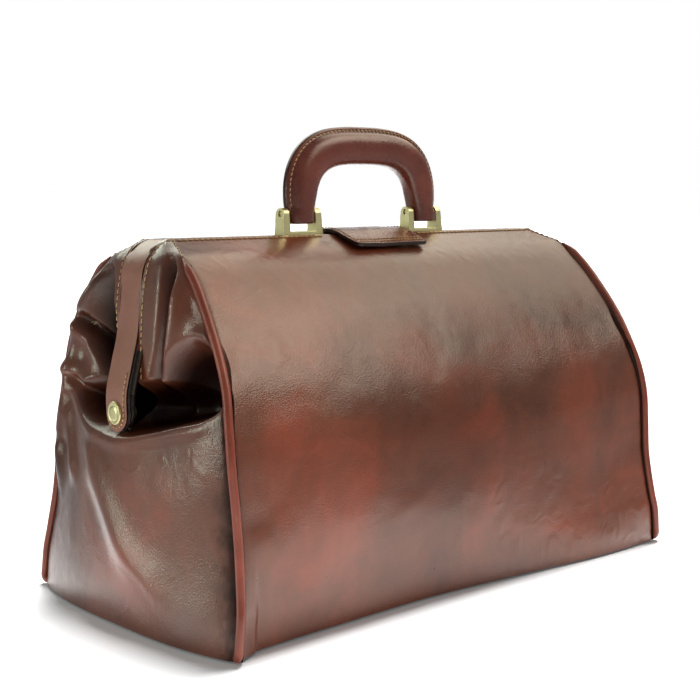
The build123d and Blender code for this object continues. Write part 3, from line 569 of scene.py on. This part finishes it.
def gusset_face(y, z, facing):
    """|X| of the gusset's outer face at |y| and z, and how deep it is sunk there in folds and hollows.

    Below the lip it bulges from the piping to the bulge line by a power of |y|; above it, it runs
    straight from the strap's seam to the piping; an S-curve a few mm above the lip changes from one
    to the other. Folds and hollows are then added, with the long fold that crosses from the back half
    to the front one, and the last 3 mm tuck in beside the piping."""
    edge_x, edge_y = end_at(facing, z)
    bulge = curve_through(bulge_line, 200)
    share = np.clip(y / edge_y, 0, 1)
    rounding = 3.0 - 0.7 * ease(z, 0, 60)
    low = edge_x + (np.interp(z, bulge[:, 1], bulge[:, 0]) - edge_x) * (1 - share**rounding)
    seam = curve_through(seam_line, 200)[::-1]
    seam_x = np.interp(z, seam[:, 1], seam[:, 0])
    across = np.clip((y - seam_reach) / np.maximum(edge_y - seam_reach, 1), -0.3, 1)
    arch = 2.0 * np.sin(np.clip(across, 0, 1) * math.pi) * ease(z, 170, 200)
    high = seam_x + (edge_x - seam_x) * across + arch
    lip = np.array(front_lip if facing < 0 else rear_lip, float)
    lip_track = curve_through(lip, 200)
    above = z - np.interp(y, lip_track[:, 0], lip_track[:, 1])
    changed = ease(above, -1.5, 6.5)
    face = low * (1 - changed) + high * changed
    face = face + 1.6 * np.exp(-((above + 4.5) / 4.5)**2) * ease(edge_y - y, 6, 30)
    if facing > 0:
        face = face + 7.0 * np.exp(-((edge_y - y - 12) / 10)**2) * ease(z, 60, 105) * ease(240 - z, 0, 30)
    if facing < 0:
        deep = hollow(y, z, (67, 149), (34, 43), 30.0, lean=0.12) + hollow(y, z, (30, 138), (38, 23), 30.0)
        folds = front_folds
    else:
        deep = hollow(y, z, (34, 182), (22, 34), 10.0) + hollow(y, z, (40, 138), (27, 19), 17.0)
        folds = rear_folds
    face = face - deep * changed
    sunk = deep * changed
    for line, widths, height in folds:
        room = ease(edge_y - y, 2, 13) if height < 0 else ease(edge_y - y, 0, 6)
        raised = fold(y, z, line, widths, height) * room
        face = face + raised
        sunk = sunk - np.minimum(raised, 0)
    face = face + fold(y * facing, z, long_fold, (13.0, 10.0), 3.6) * ease(edge_y - y, 0, 20)
    free = ease(y, 16, 34) * ease(edge_y - y, 3, 18) * ease(z, 3, 20)
    calm = 0.35 + 0.65 * ease(z, 95, 140)
    waves = 0.9 * wander(y * facing, z, 34, 11) + 0.35 * wander(y * facing, z, 16, 12)
    face = face + free * calm * waves
    slack = ease(z, 3, 20) * (1 - changed) * ease(edge_y - y, 3, 30)
    face = face + 0.5 * slack * wander(y * facing, z, 46, 13)
    tuck = np.exp(-((edge_y - y) / 3.4)**2) * ease(240 - z, 0, 14)
    return face - 3.4 * tuck, sunk


def gusset_grid(side, facing, rows=190, columns=104):
    """Half of a gusset. Rows crowd together round the lip and follow it; columns crowd near the strap."""
    knots = np.array([(0, foot_z), (0.13, 70), (0.24, 108), (0.30, 117), (0.62, 148), (0.80, 190),
                      (1, bar_top)])
    level = np.interp(np.linspace(0, 1, rows), knots[:, 0], knots[:, 1])[:, None]
    share = np.linspace(0, 1, columns)[None, :]
    lip_track = curve_through(np.array(front_lip if facing < 0 else rear_lip, float), 200)
    z = level + 0 * share
    for _ in range(3):
        inner = 11.0 * ease(z, 122.5, 150)
        outer = end_at(facing, z)[1]
        y = inner + (outer - inner) * share
        lift = np.interp(y, lip_track[:, 0], lip_track[:, 1]) - lip_z
        z = level + lift * np.exp(-((level - 124) / 30)**2)
        z = np.clip(z, foot_z, bar_top)
    x, sunk = gusset_face(y, z, facing)
    x = np.where(share > 0.999, end_at(facing, z)[0] - 1.8, x)
    return np.stack([side * x, facing * y, z], axis=2), outer - y, sunk


def make_gusset(side, facing):
    """One half of one gusset, with painted shade in its folds and hollows and beside the piping."""
    end = "left" if side < 0 else "right"
    jaw, word = ("front_jaw", "front") if facing < 0 else ("rear_jaw", "rear")
    grid, from_edge, sunk = gusset_grid(side, facing)
    y, z = np.abs(grid[..., 1]), grid[..., 2]
    # Painted shade beside the piping and in the folds and hollows, darker where they are sunk deeper.
    stain_and_painted_light = 0.95 * painted_seam_shade(from_edge, z, 9.5, 41) * ease(210 - z, 0, 60) + np.clip(sunk / 14, 0, 1)
    # Painted shade on the back half's lower part, where its gloss is also taken down.
    stain_and_painted_light = stain_and_painted_light + 0.65 * np.exp(-((y - 85) / 38)**2 - ((z - 70) / 65)**2) * (facing > 0)
    # A painted highlight: lighter dye on the front half's lower part.
    stain_and_painted_light = stain_and_painted_light - 0.5 * np.exp(-((y - 35) / 38)**2 - ((z - 60) / 55)**2) * (facing < 0)
    crease = 0.35 + 0.65 * np.exp(-((z - 130) / 30)**2)
    piece = sheet_piece(f"gusset_{word}_{end}", grid, (side, 0, 0), 1.4, [hide, burnished],
                        {"stain_and_painted_light": stain_and_painted_light, "crease": crease})
    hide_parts(f"{word}_gusset_upper_{end}", f"gusset_lower_{end}")
    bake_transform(piece)


for gusset_side in (-1, 1):
    for gusset_facing in (-1, 1):
        make_gusset(gusset_side, gusset_facing)


# ---- Piping.
# A 5.6 mm cord wrapped in redder leather, sewn into each of the four seams between panel and gusset, from
# just under the bar down to the base, where its end is turned under.
piping_radius = 2.8
piping_top = 236.5
piping_sides = 14


def tube_piece(name, path, radius, materials, sides, layers):
    """A round tube along a path in mm; radius is a number or one value per point. Its ends are closed."""
    path = np.array(path, float)
    radius = np.broadcast_to(radius, len(path))
    step = np.gradient(path, axis=0)
    step /= np.linalg.norm(step, axis=1, keepdims=True)
    lead = np.array([0.0, 0, 1]) if abs(step[:, 2]).mean() < 0.7 else np.array([1.0, 0, 0])
    first = np.cross(step, lead)
    first /= np.linalg.norm(first, axis=1, keepdims=True)
    second = np.cross(step, first)
    turn = np.linspace(0, 2 * math.pi, sides, endpoint=False)
    ring = first[:, None] * np.cos(turn)[None, :, None] + second[:, None] * np.sin(turn)[None, :, None]
    points = path[:, None] + ring * radius[:, None, None]
    made = make_mesh(name, points.reshape(-1, 3), ring_faces(len(path), sides), materials, layers)
    return made


def piping_path(side, facing):
    """The seam line, stood off outward by a little under the cord's radius, then turned under the base."""
    line = end_points(facing, 220)
    line = line[line[:, 2] < piping_top]
    foot_x, foot_y = line[-1, 0], line[-1, 1]
    turned = np.array([(foot_x - 1, foot_y - 1.4, 0.6 + piping_radius),
                       (foot_x - 3, foot_y - 4.5, piping_radius), (foot_x - 7, foot_y - 9.0, piping_radius)])
    path = curve_through(np.vstack([line[:-3:3], turned]), 260)
    outward = np.array([0.72, 0.70, 0.0])
    away = ease(236.0 - path[:, 2], 0, 6)[:, None] * outward * 0.7
    path = path + away
    path[:, 0] += 0.25 * wander(path[:, 2], path[:, 2] * 0, 24, 51)
    return path * np.array([side, facing, 1])


jaw_sides = (("front", -1), ("rear", 1))
ends = (("left", -1), ("right", 1))
for word, facing in jaw_sides:
    for end, side in ends:
        path = piping_path(side, facing)
        size = piping_radius * (0.25 + 0.75 * ease(piping_top - path[:, 2], -0.5, 9))
        point_count = len(path) * piping_sides
        cord = tube_piece(f"piping_{word}_{end}", path, size, [piping_hide], piping_sides,
                          {"stain_and_painted_light": np.zeros(point_count), "crease": np.full(point_count, 0.3)})
        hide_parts(f"{word}_piping_upper", "piping_lower")
        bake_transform(cord)


# ---- Base.
# A leather base with the stiffening board over it, cut to the foot of the walls, which are turned in
# over its edge and sewn.
base_thickness = 2.2
board_thickness = 2.4


def base_outline(inset):
    """The base's outline in plan: the foot of both panels and of both gussets, set in evenly."""
    foot = curve_through([(float(a), float(b)) for a, b in foot_line], 90)
    foot = foot[np.abs(foot[:, 0]) < 196]
    y = np.linspace(-1, 1, 40) * 112
    bulge = 205 + 14.0 * (1 - np.abs(y / 121)**3.0) - 1.0
    front = np.stack([foot[:, 0], -(foot[:, 1] - inset)], axis=1)
    right = np.stack([bulge - inset, y], axis=1)
    back = np.stack([foot[::-1, 0], foot[::-1, 1] - inset], axis=1)
    left = np.stack([-(bulge - inset), -y], axis=1)
    return np.vstack([front, right, back, left])


def plate_piece(name, outline, low, high, materials, body):
    """A flat plate with that outline in plan, from low to high, its upper edge a little eased."""
    count = len(outline)
    levels = ((0.995, low), (1.0, low + 0.4), (1.0, high - 0.4), (0.995, high))
    rings = [np.column_stack([outline * share, np.full(count, level)]) for share, level in levels]
    made = make_mesh(name, np.vstack(rings), ring_faces(len(rings), count), materials, smooth=False)
    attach(made, body)
    return made


base = plate_piece("base", base_outline(2.6), 0.0, base_thickness, [burnished], "body")
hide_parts("base_panel")
board_top = base_thickness + board_thickness
board = plate_piece("stiffening_board", base_outline(5.0), base_thickness, board_top, [fibre_board],
                    "body")
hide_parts("base_board")


# ---- Stitching.
# Waxed linen, sewn at 4.4 mm a stitch: each stitch is a short raised length of thread that dives into
# a needle hole at both ends.
stitch_pitch = 4.4
thread_radius = 0.42


def stitch_row(name, path, up, body, blend_to=None, pitch=stitch_pitch, radius=thread_radius):
    """A row of stitches along a path in mm, raised along up, one vector or one per point.

    Each stitch has five rings of six points: its height is a half sine along it and its thickness
    tapers at both ends. A flat dark disc, painted shade of the needle hole, is laid between neighbours."""
    path = np.array(path, float)
    run = np.concatenate([[0], np.cumsum(np.linalg.norm(np.diff(path, axis=0), axis=1))])
    up = np.broadcast_to(np.array(up, float), path.shape)
    count = max(int(run[-1] / pitch), 1)
    along = (np.arange(count)[:, None] + np.linspace(0.11, 0.89, 5)[None]) * (run[-1] / count)
    at = np.stack([np.interp(along, run, path[:, k]) for k in range(3)], axis=2)
    lift = np.stack([np.interp(along, run, up[:, k]) for k in range(3)], axis=2)
    lift /= np.linalg.norm(lift, axis=2, keepdims=True)
    way = at[:, -1:] - at[:, :1]
    way = way / np.linalg.norm(way, axis=2, keepdims=True)
    beside = np.cross(way, lift)
    beside /= np.linalg.norm(beside, axis=2, keepdims=True)
    slant = np.linspace(-0.18, 0.18, 5)[None, :, None]
    arch = np.array([-0.35, 0.35, 0.55, 0.35, -0.35])[None, :, None] * radius
    wide = np.array([0.55, 0.95, 1.0, 0.95, 0.55])[None, :, None, None] * radius
    turn = np.linspace(0, 2 * math.pi, 6, endpoint=False)[None, None, :, None]
    centre = at + lift * arch + beside * slant
    points = centre[:, :, None] + (lift[:, :, None] * np.cos(turn) + beside[:, :, None] * np.sin(turn)) * wide
    one = grid_faces(5, 6, closed=True)
    faces = (one[None] + (np.arange(count) * 30)[:, None, None]).reshape(-1, 4).tolist()
    faces += [[30 * k + i for i in range(6)][::-1] for k in range(count)]
    faces += [[30 * k + 24 + i for i in range(6)] for k in range(count)]
    hole_at = at[:, 0] + lift[:, 0] * 0.06
    spin = np.linspace(0, 2 * math.pi, 8, endpoint=False)
    oval = way * np.cos(spin)[None, :, None] * 1.35 + beside[:, :1] * np.sin(spin)[None, :, None]
    rim = oval * radius * 0.95
    back = -way[:, 0] * pitch * 0.11
    hole_shade_discs = (hole_at + back)[:, None] + rim
    start = count * 30
    marks = [[start + 8 * k + i for i in range(8)][::-1] for k in range(count)]
    every_point = np.vstack([points.reshape(-1, 3), hole_shade_discs.reshape(-1, 3)])
    made = make_mesh(name, every_point, faces + marks, [thread, needle_hole_shade])
    made.data.polygons.foreach_set("material_index", [0] * len(faces) + [1] * len(marks))
    if blend_to:
        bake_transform(made)
    else:
        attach(made, body)
    return made


def gusset_seam_row(side, facing):
    """The row that joins the gusset to the strap and its arm, 3 mm outside the strap's edge."""
    seam = curve_through(seam_line, 120)
    seam = seam[seam[:, 1] > 158]
    y = np.full(len(seam), seam_reach)
    x = gusset_face(y, seam[:, 1], facing)[0] + 0.12
    path = np.stack([side * x, facing * y, seam[:, 1]], axis=1)
    step = np.gradient(np.stack([x, seam[:, 1]], axis=1), axis=0)
    up = np.stack([side * -step[:, 1], 0 * y, step[:, 0]], axis=1)
    return path, up * np.where(up[:, :1] * side > 0, 1, -1)


corner_row = np.linspace((bar_seam[0] - 0.5, 14.4, 248.3), (183.0, 41.5, 237.6), 30)
for word, facing in jaw_sides:
    for end, side in ends:
        path, up = gusset_seam_row(side, facing)
        stitch_row(f"stitches_gusset_{word}_{end}", path, up, "body", f"{word}_jaw")
        path = corner_row * np.array([side, facing, 1])
        stitch_row(f"stitches_corner_{word}_{end}", path, (side * 0.35, facing * 0.35, 0.9), f"{word}_jaw")


# ---- Straps over the frame arms, and the leather on both bars.
# The 24.8 mm strap runs from the bar over the corner and down to a round end under the rivet. It is
# 1.4 mm hide with a burnished edge, glued over the steel arm and stitched round its lower end.
pivot_z = 137.1
strap_line = [(172.6, 248.0), (176.0, 247.4), (181.7, 245.0), (187.4, 240.6), (191.7, 234.9), (194.4, 228.4),
              (195.6, 221.0), (197.5, 206.0), (200.0, 187.5), (204.5, 170.5), (207.2, 160.5), (209.2, 152.4),
              (209.9, 145.0), (209.9, 134.0), (209.9, 124.7)]


def strap_grid(side, columns=25, rows=120):
    """The strap's outer face: its line, crossed by a shallow crown, narrowing in a half circle at the
    end."""
    line = curve_through(strap_line, rows)
    share = np.linspace(-1, 1, columns)
    drop = np.clip(pivot_z - line[:, 1], 0, strap_half)
    width = np.sqrt(strap_half**2 - drop**2)
    width[-1] = 1.2
    y = width[:, None] * share
    crown = 0.5 * (1 - (y / strap_half)**2) - 0.35
    x = line[:, 0][:, None] + crown
    return np.stack([side * x, y, line[:, 1][:, None] + 0 * share], axis=2)


for end, side in ends:
    grid = strap_grid(side)
    worn = {"stain_and_painted_light": np.full(grid.shape[:2], 0.0), "crease": np.full(grid.shape[:2], 0.15)}
    strap = sheet_piece(f"strap_{end}", grid, (side, 0, 0.1), 1.4, [strap_hide, burnished],
                        worn, 0.35)
    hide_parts(f"front_strap_{end}")
    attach(strap, "front_jaw")
    line = curve_through(strap_line, 200)
    line = line[(line[:, 1] < 163.5) & (line[:, 1] > pivot_z)]
    reach = strap_half - 2.5
    turn = np.linspace(0, math.pi, 40)
    round_z = pivot_z - reach * np.sin(turn)
    full = curve_through(strap_line, 200)[::-1]
    low_x = np.interp(round_z, full[:, 1], full[:, 0])
    down = np.stack([line[:, 0], np.full(len(line), -reach), line[:, 1]], axis=1)
    under = np.stack([low_x, -reach * np.cos(turn), round_z], axis=1)
    path = np.vstack([down, under])
    path[:, 0] = (path[:, 0] + 0.18) * side
    stitch_row(f"stitches_strap_{end}", path, (side, 0, 0.12), "front_jaw", pitch=3.4, radius=0.42)


bar_inner, bar_outer = 0.5, 13.6
seat_half = 41.7
bracket_clear = 45


def bar_grid(facing, half_length):
    """The leather over one bar: flat on top, turned down over its outer edge."""
    x = np.linspace(-half_length, half_length, 160)
    profile = curve_through([(bar_inner, bar_top - 0.9), (bar_inner + 0.5, bar_top - 0.15),
                             (bar_inner + 2.0, bar_top + 0.1), ((bar_inner + bar_outer) / 2, bar_top + 0.2),
                             (bar_outer - 0.8, bar_top - 0.05), (bar_outer, bar_top - 0.6)], 18)
    y = np.broadcast_to(profile[:, 0], (160, 18)) + 0 * x[:, None]
    z = np.broadcast_to(profile[:, 1], (160, 18)) + 0.12 * wander(x[:, None], y * 0, 35, 61)
    return np.stack([np.broadcast_to(x[:, None], y.shape), facing * y, z], axis=2)


for word, facing, half_length in (("front", -1, 172.6), ("rear", 1, 171.4)):
    grid = bar_grid(facing, half_length)
    if facing < 0:
        lowered = 2.9 * ease(seat_half - np.abs(grid[..., 0]), 0, 3.5)
        grid[..., 2] -= lowered
    worn = {"stain_and_painted_light": np.full(grid.shape[:2], 0.0), "crease": np.full(grid.shape[:2], 0.2)}
    bar = sheet_piece(f"bar_leather_{word}", grid, (0, 0, 1), 1.2, [hide, burnished], worn)
    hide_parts(f"{word}_bar_cover")
    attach(bar, f"{word}_jaw")
    panel = panel_grid(facing)[0]
    top_row = np.argmin(np.abs(panel[:, 0, 2] - 246.8))
    out = normals_of(panel)[top_row]
    out *= np.sign(out[:, 1:2] * facing)
    sewn = panel[top_row] + out * 0.25
    for part, side in ends:
        kept = (sewn[:, 0] * side > bracket_clear) & (sewn[:, 0] * side < half_length - 1)
        stitch_row(f"stitches_bar_{word}_{part}", sewn[kept], out[kept], f"{word}_jaw", radius=0.5)


# ---- Closure tab.
# Two thicknesses of leather over the mouth, riveted to the back panel, with a magnet in its tip. It is
# stitched round its free edge, twice across the front, and its long use has left it a little wavy.
tab_half = 35.0
tab_line = [(34.0, 238.6), (24.0, 245.6), (16.0, 250.6), (8.5, 252.6), (0.0, 252.7), (-9.0, 252.5),
            (-17.0, 251.0), (-24.0, 248.4), (-32.0, 245.3), (-41.5, 241.8)]


def tab_surface(columns=60, rows=90):
    """The tab's outer face: its line swept across, with round front corners and shallow waves."""
    line = curve_through(tab_line, rows)
    run = np.linspace(0, 1, rows)[:, None]
    share = np.linspace(-1, 1, columns)[None]
    corner = np.clip((run - 0.935) / 0.065, 0, 1)
    half = tab_half - 5.0 * (1 - np.sqrt(np.clip(1 - corner**2, 0, 1)))
    x = half * share
    step = np.gradient(line, axis=0)
    step /= np.linalg.norm(step, axis=1, keepdims=True)
    up = np.stack([step[:, 1], -step[:, 0]], axis=1)
    up *= np.sign(up[:, 1:2])
    wave = 0.35 * wander(x, run * 80, 17, 71) * ease(run, 0.2, 0.5)
    wave = wave + 0.25 * wander(x, run * 80, 9, 72) * ease(run, 0.3, 0.6)
    wave = wave - 0.5 * np.exp(-((tab_half - np.abs(x)) / 1.2)**2)
    y = line[:, 0][:, None] + up[:, 0][:, None] * wave
    z = line[:, 1][:, None] + up[:, 1][:, None] * wave
    return np.stack([x, y, z], axis=2)


tab_grid = tab_surface()
tab_worn = {"stain_and_painted_light": np.full(tab_grid.shape[:2], -0.2), "crease": np.full(tab_grid.shape[:2], 0.8)}
tab = sheet_piece("closure_tab", tab_grid, (0, -0.2, 1), 2.9, [handle_hide, burnished],
                  tab_worn, 0.5)
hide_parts("tab_leather", "tab_lining", "tab_anchor")
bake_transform(tab)


def tab_path(x_values, run_values):
    """Points on the tab's outer face at x in mm and a share of its length, stood 0.15 mm proud."""
    rows, columns = tab_grid.shape[:2]
    r = np.clip(np.array(run_values) * (rows - 1), 0, rows - 1.001)
    c = np.clip((np.array(x_values) / tab_half + 1) / 2 * (columns - 1), 0, columns - 1.001)
    low_r, low_c = r.astype(int), c.astype(int)
    part_r, part_c = (r - low_r)[:, None], (c - low_c)[:, None]
    upper = tab_grid[low_r, low_c] * (1 - part_c) + tab_grid[low_r, low_c + 1] * part_c
    lower = tab_grid[low_r + 1, low_c] * (1 - part_c) + tab_grid[low_r + 1, low_c + 1] * part_c
    return upper * (1 - part_r) + lower * part_r + np.array([0, -0.03, 0.15])


tab_across = np.linspace(-31, 31, 60)
tab_along = np.linspace(0.44, 0.945, 60)
tab_rows = (("front", tab_across, np.full(60, 0.955)), ("second", tab_across, np.full(60, 0.905)),
            ("left", np.full(60, -32.3), tab_along), ("right", np.full(60, 32.3), tab_along))
for label, x_values, run_values in tab_rows:
    stitch_row(f"stitches_tab_{label}", tab_path(x_values, run_values), (0, -0.25, 1), "closure_tab",
               pitch=3.2, radius=0.34)


# ---- Lining.
# Cotton drill glued inside the walls, following them, with a floor over the board and one pocket on
# the back wall.
lining_thickness = 0.8


def lining_piece(name, grid, outward, inset, covers):
    """The lining behind one wall: the wall's face pushed in by inset, with fewer rows and columns."""
    facing_in = normals_of(grid)
    facing_in *= -np.sign(np.mean(facing_in @ np.array(outward, float)))
    inner = (grid + facing_in * inset)[::3, ::3]
    keep = inner[..., 2].mean(axis=1) > 5.5
    inner = inner[keep]
    cloth = sheet_piece(name, inner, outward, lining_thickness, [lining_cloth, lining_cloth])
    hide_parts(*covers)
    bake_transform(cloth)


for word, facing in jaw_sides:
    wall = panel_grid(facing)[0][:, 6:-6]
    wall = wall[wall[:, 0, 2] < 243]
    lining_piece(f"lining_{word}", wall, (0, facing, 0), 2.6,
                 ["lining_lower", f"{word}_lining_upper"])
    for end, side in ends:
        wall = gusset_grid(side, facing)[0][:, :-12]
        wall = wall[wall[:, 0, 2] < 222]
        lining_piece(f"lining_{word}_{end}", wall, (side, 0, 0), 2.2, ["lining_lower"])
pocket_low, pocket_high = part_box("rear_pocket")
wall = panel_grid(1)[0]
across = np.abs(wall[75, :, 0]) < pocket_high[0] / MM
up = (wall[:, 0, 2] > pocket_low[2] / MM) & (wall[:, 0, 2] < pocket_high[2] / MM)
lining_piece("pocket_rear", wall[up][:, across], (0, 1, 0), 4.4, ["rear_pocket"])
lining_floor = plate_piece("lining_floor", base_outline(6.5), 4.8, 5.8, [lining_cloth],
                           "body")
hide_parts("lining_lower")


# ---- Handle.
# A padded grip: leather wrapped round a stiff core, its two edges brought together along the outside as
# a flat welt, sewn through and burnished. The legs narrow to fit between the brackets' ears.
handle_y = -6.5
grip_depth = 18.5
outer_line = [(70.5, 257.3), (70.9, 264.0), (72.2, 268.5), (72.7, 276.0), (72.0, 286.0), (68.8, 297.0),
              (62.0, 308.0), (51.0, 317.0), (36.0, 322.6), (18.0, 324.9), (0.0, 325.3)]
inner_line = [(50.1, 257.3), (50.0, 263.0), (48.6, 268.5), (46.8, 275.0), (45.0, 281.0), (41.4, 287.6),
              (35.4, 292.8), (27.0, 296.0), (18.0, 297.3), (9.0, 297.8), (0.0, 297.9)]
welt_height = 3.6
leg_rounding = ((0.6, 1.5), (0.9, 1.3), (0.98, 0.7))


def mirrored(line, samples):
    """The whole arch from its right half: the curve through the points, then back down the left side."""
    half = curve_through(line, samples)
    return np.vstack([half, (half * np.array([-1, 1]))[-2::-1]])


def handle_section(length, welt, across=44):
    """Half depths of the grip from its inner to its outer side.

    The padded body is a rounded box, a curve whose sum of 2.7th powers is one; the welt beyond it is
    a flat strip with a rounded edge; the larger of the two is taken, softened where they meet."""
    place = (1 - np.cos(np.linspace(0, math.pi, across))) / 2
    q = place * length
    body = length - welt
    inside = np.clip(1 - np.abs(2 * q / body - 1)**2.7, 0, 1)**(1 / 2.7) * grip_depth / 2
    outer_part = q > body * 0.6
    strip = 3.1 * np.sqrt(np.clip(1 - np.clip((q - (length - 1.4)) / 1.4, 0, 1)**2, 0, 1)) * outer_part
    soft = 0.9
    both = np.log(np.exp(inside / soft) + np.exp(strip / soft)) * soft
    both = np.where(outer_part, both, inside)
    both = np.minimum(both, grip_depth / 2)
    both[0] = both[-1] = 0.0
    return q, both


def leg_end(ring, steps):
    """Rings that round off a leg's end: each a share of the ring's size and a drop in mm."""
    centre = ring.mean(axis=0)
    return [centre + (ring - centre) * share + np.array([0, 0, -drop]) for share, drop in steps]


def handle_mesh():
    """The grip's rings from the right leg's end to the left's, and its outer and inner lines."""
    outer = mirrored(outer_line, 70)
    inner = mirrored(inner_line, 70)
    rings = []
    for a, b in zip(inner, outer):
        length = np.linalg.norm(b - a)
        welt = welt_height * ease(b[1], 262, 268)
        q, half = handle_section(length, max(welt, 0.01))
        direction = (b - a) / length
        flat = a[None] + direction[None] * q[:, None]
        near = np.stack([flat[:, 0], handle_y - half, flat[:, 1]], axis=1)
        far = np.stack([flat[:, 0], handle_y + half, flat[:, 1]], axis=1)
        rings.append(np.vstack([near, far[-2:0:-1]]))
    first = leg_end(rings[0], leg_rounding)
    last = leg_end(rings[-1], leg_rounding[::-1])
    return np.array(first + rings + last), outer, inner


handle_rings, handle_outer, handle_inner = handle_mesh()
welt_edge = 43
rim = np.zeros(handle_rings.shape[:2])
rim[:, welt_edge - 2:welt_edge + 3] = 1.0
rim *= ease(handle_rings[:, welt_edge, 2], 264, 268)[:, None]
handle_layers = {"stain_and_painted_light": rim * 0.7, "crease": np.full(handle_rings.shape[:2], 0.15)}
handle = make_mesh("handle_grip", handle_rings.reshape(-1, 3), ring_faces(*handle_rings.shape[:2]),
                   [handle_hide], handle_layers)
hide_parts("handle_leather", "handle_welt", "handle_core")
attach(handle, "handle")
handle_way = handle_outer - handle_inner
handle_way /= np.linalg.norm(handle_way, axis=1, keepdims=True)
sewn = handle_outer[:, 1] > 266.5
for label, facing in jaw_sides:
    at = handle_outer[sewn] - handle_way[sewn] * 2.5
    row = np.stack([at[:, 0], np.full(len(at), handle_y + facing * 3.25), at[:, 1]], axis=1)
    stitch_row(f"stitches_handle_{label}", row, (0, facing, 0), "handle", pitch=3.6, radius=0.4)


# ---- Metal.
# Brackets, rivets, screws and pins are brass, cast or turned and polished, left as the part has them;
# the frames and the magnet's plate are brushed steel. The end rivets get turned caps with one ring.
def metal(name, colour, roughness, rounding, brushed=0.0):
    """Polished or brushed metal with edges that catch the light as if rounded by `rounding` mm. Its fine
    scratches are drawn at 0.7 mm so that they show."""
    made, tree, out = new_material(name)
    link = tree.links.new
    place = add_node(tree, "ShaderNodeTexCoord").outputs["Object"]
    smear = add_node(tree, "ShaderNodeTexNoise", Scale=120.0, Detail=3.0)
    rough = add_node(tree, "ShaderNodeMapRange", To_Min=roughness - 0.06, To_Max=roughness + 0.10)
    shell = add_node(tree, "ShaderNodeBsdfPrincipled", Base_Color=to_linear(colour), Metallic=1.0)
    eased = add_node(tree, "ShaderNodeBevel", samples=4, Radius=rounding * MM)
    fine = add_node(tree, "ShaderNodeTexNoise", Scale=1400.0)
    bump = add_node(tree, "ShaderNodeBump", Strength=0.04 + brushed, Distance=0.0001)
    link(place, smear.inputs["Vector"])
    link(place, fine.inputs["Vector"])
    link(smear.outputs["Fac"], rough.inputs["Value"])
    link(rough.outputs["Result"], shell.inputs["Roughness"])
    link(fine.outputs["Fac"], bump.inputs["Height"])
    link(eased.outputs["Normal"], bump.inputs["Normal"])
    link(bump.outputs["Normal"], shell.inputs["Normal"])
    link(shell.outputs["BSDF"], out.inputs["Surface"])
    return made


# The brass is pale and softly shiny, with brighter edges; the steel is grey and half dull.
brass = metal("polished_pale_brass", "#dcd5a2", 0.36, 0.8)
steel = metal("brushed_frame_steel", "#9b9b98", 0.38, 0.3, brushed=0.15)


def lathe_piece(name, profile, place, axis_sign, material, body, sides=48):
    """A turned part about an axis along X: profile is (distance along the axis, radius) in mm."""
    track = np.array(profile, float)
    turn = np.linspace(0, 2 * math.pi, sides, endpoint=False)
    along, radius = track[:, :1], track[:, 1:]
    points = np.stack([place[0] + axis_sign * along + 0 * turn, place[1] + radius * np.cos(turn),
                       place[2] + radius * np.sin(turn)], axis=2)
    faces = ring_faces(len(track), sides)
    if axis_sign < 0:
        faces = [face[::-1] for face in faces]
    made = make_mesh(name, points.reshape(-1, 3), faces, [material])
    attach(made, body)
    return made


cap_profile = [(0, 3.0), (11.6, 3.0), (11.7, 7.2), (11.9, 7.65), (13.2, 7.65), (13.8, 7.45), (14.1, 7.0),
               (14.15, 5.6), (13.85, 5.4), (13.85, 5.1), (14.15, 4.9), (14.25, 2.5), (14.28, 0.3)]
cap_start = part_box("pivot_rivets")[1][0] / MM - cap_profile[-1][0]
for end, side in ends:
    cap = lathe_piece(f"pivot_rivet_{end}", cap_profile, (side * cap_start, 0.0, pivot_z), side, brass,
                      "body")
    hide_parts("pivot_rivets")

brass_nodes = ("handle_bracket", "bracket_screws", "handle_pins", "anchor_rivets", "rivet_tails",
               "pivot_washers", "pivot_spacers")
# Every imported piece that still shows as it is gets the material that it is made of.
for name, node in nodes.items():
    if node.hide_render:
        continue
    node.data.materials.clear()
    if name.startswith(brass_nodes):
        node.data.materials.append(brass)
    elif name in ("front_frame", "rear_frame", "magnet_plate", "tab_magnet"):
        node.data.materials.append(steel)
    elif "hem" in name:
        node.data.materials.append(burnished)
    elif "pocket" in name or "lining" in name:
        node.data.materials.append(lining_cloth)
    else:
        node.data.materials.append(hide)
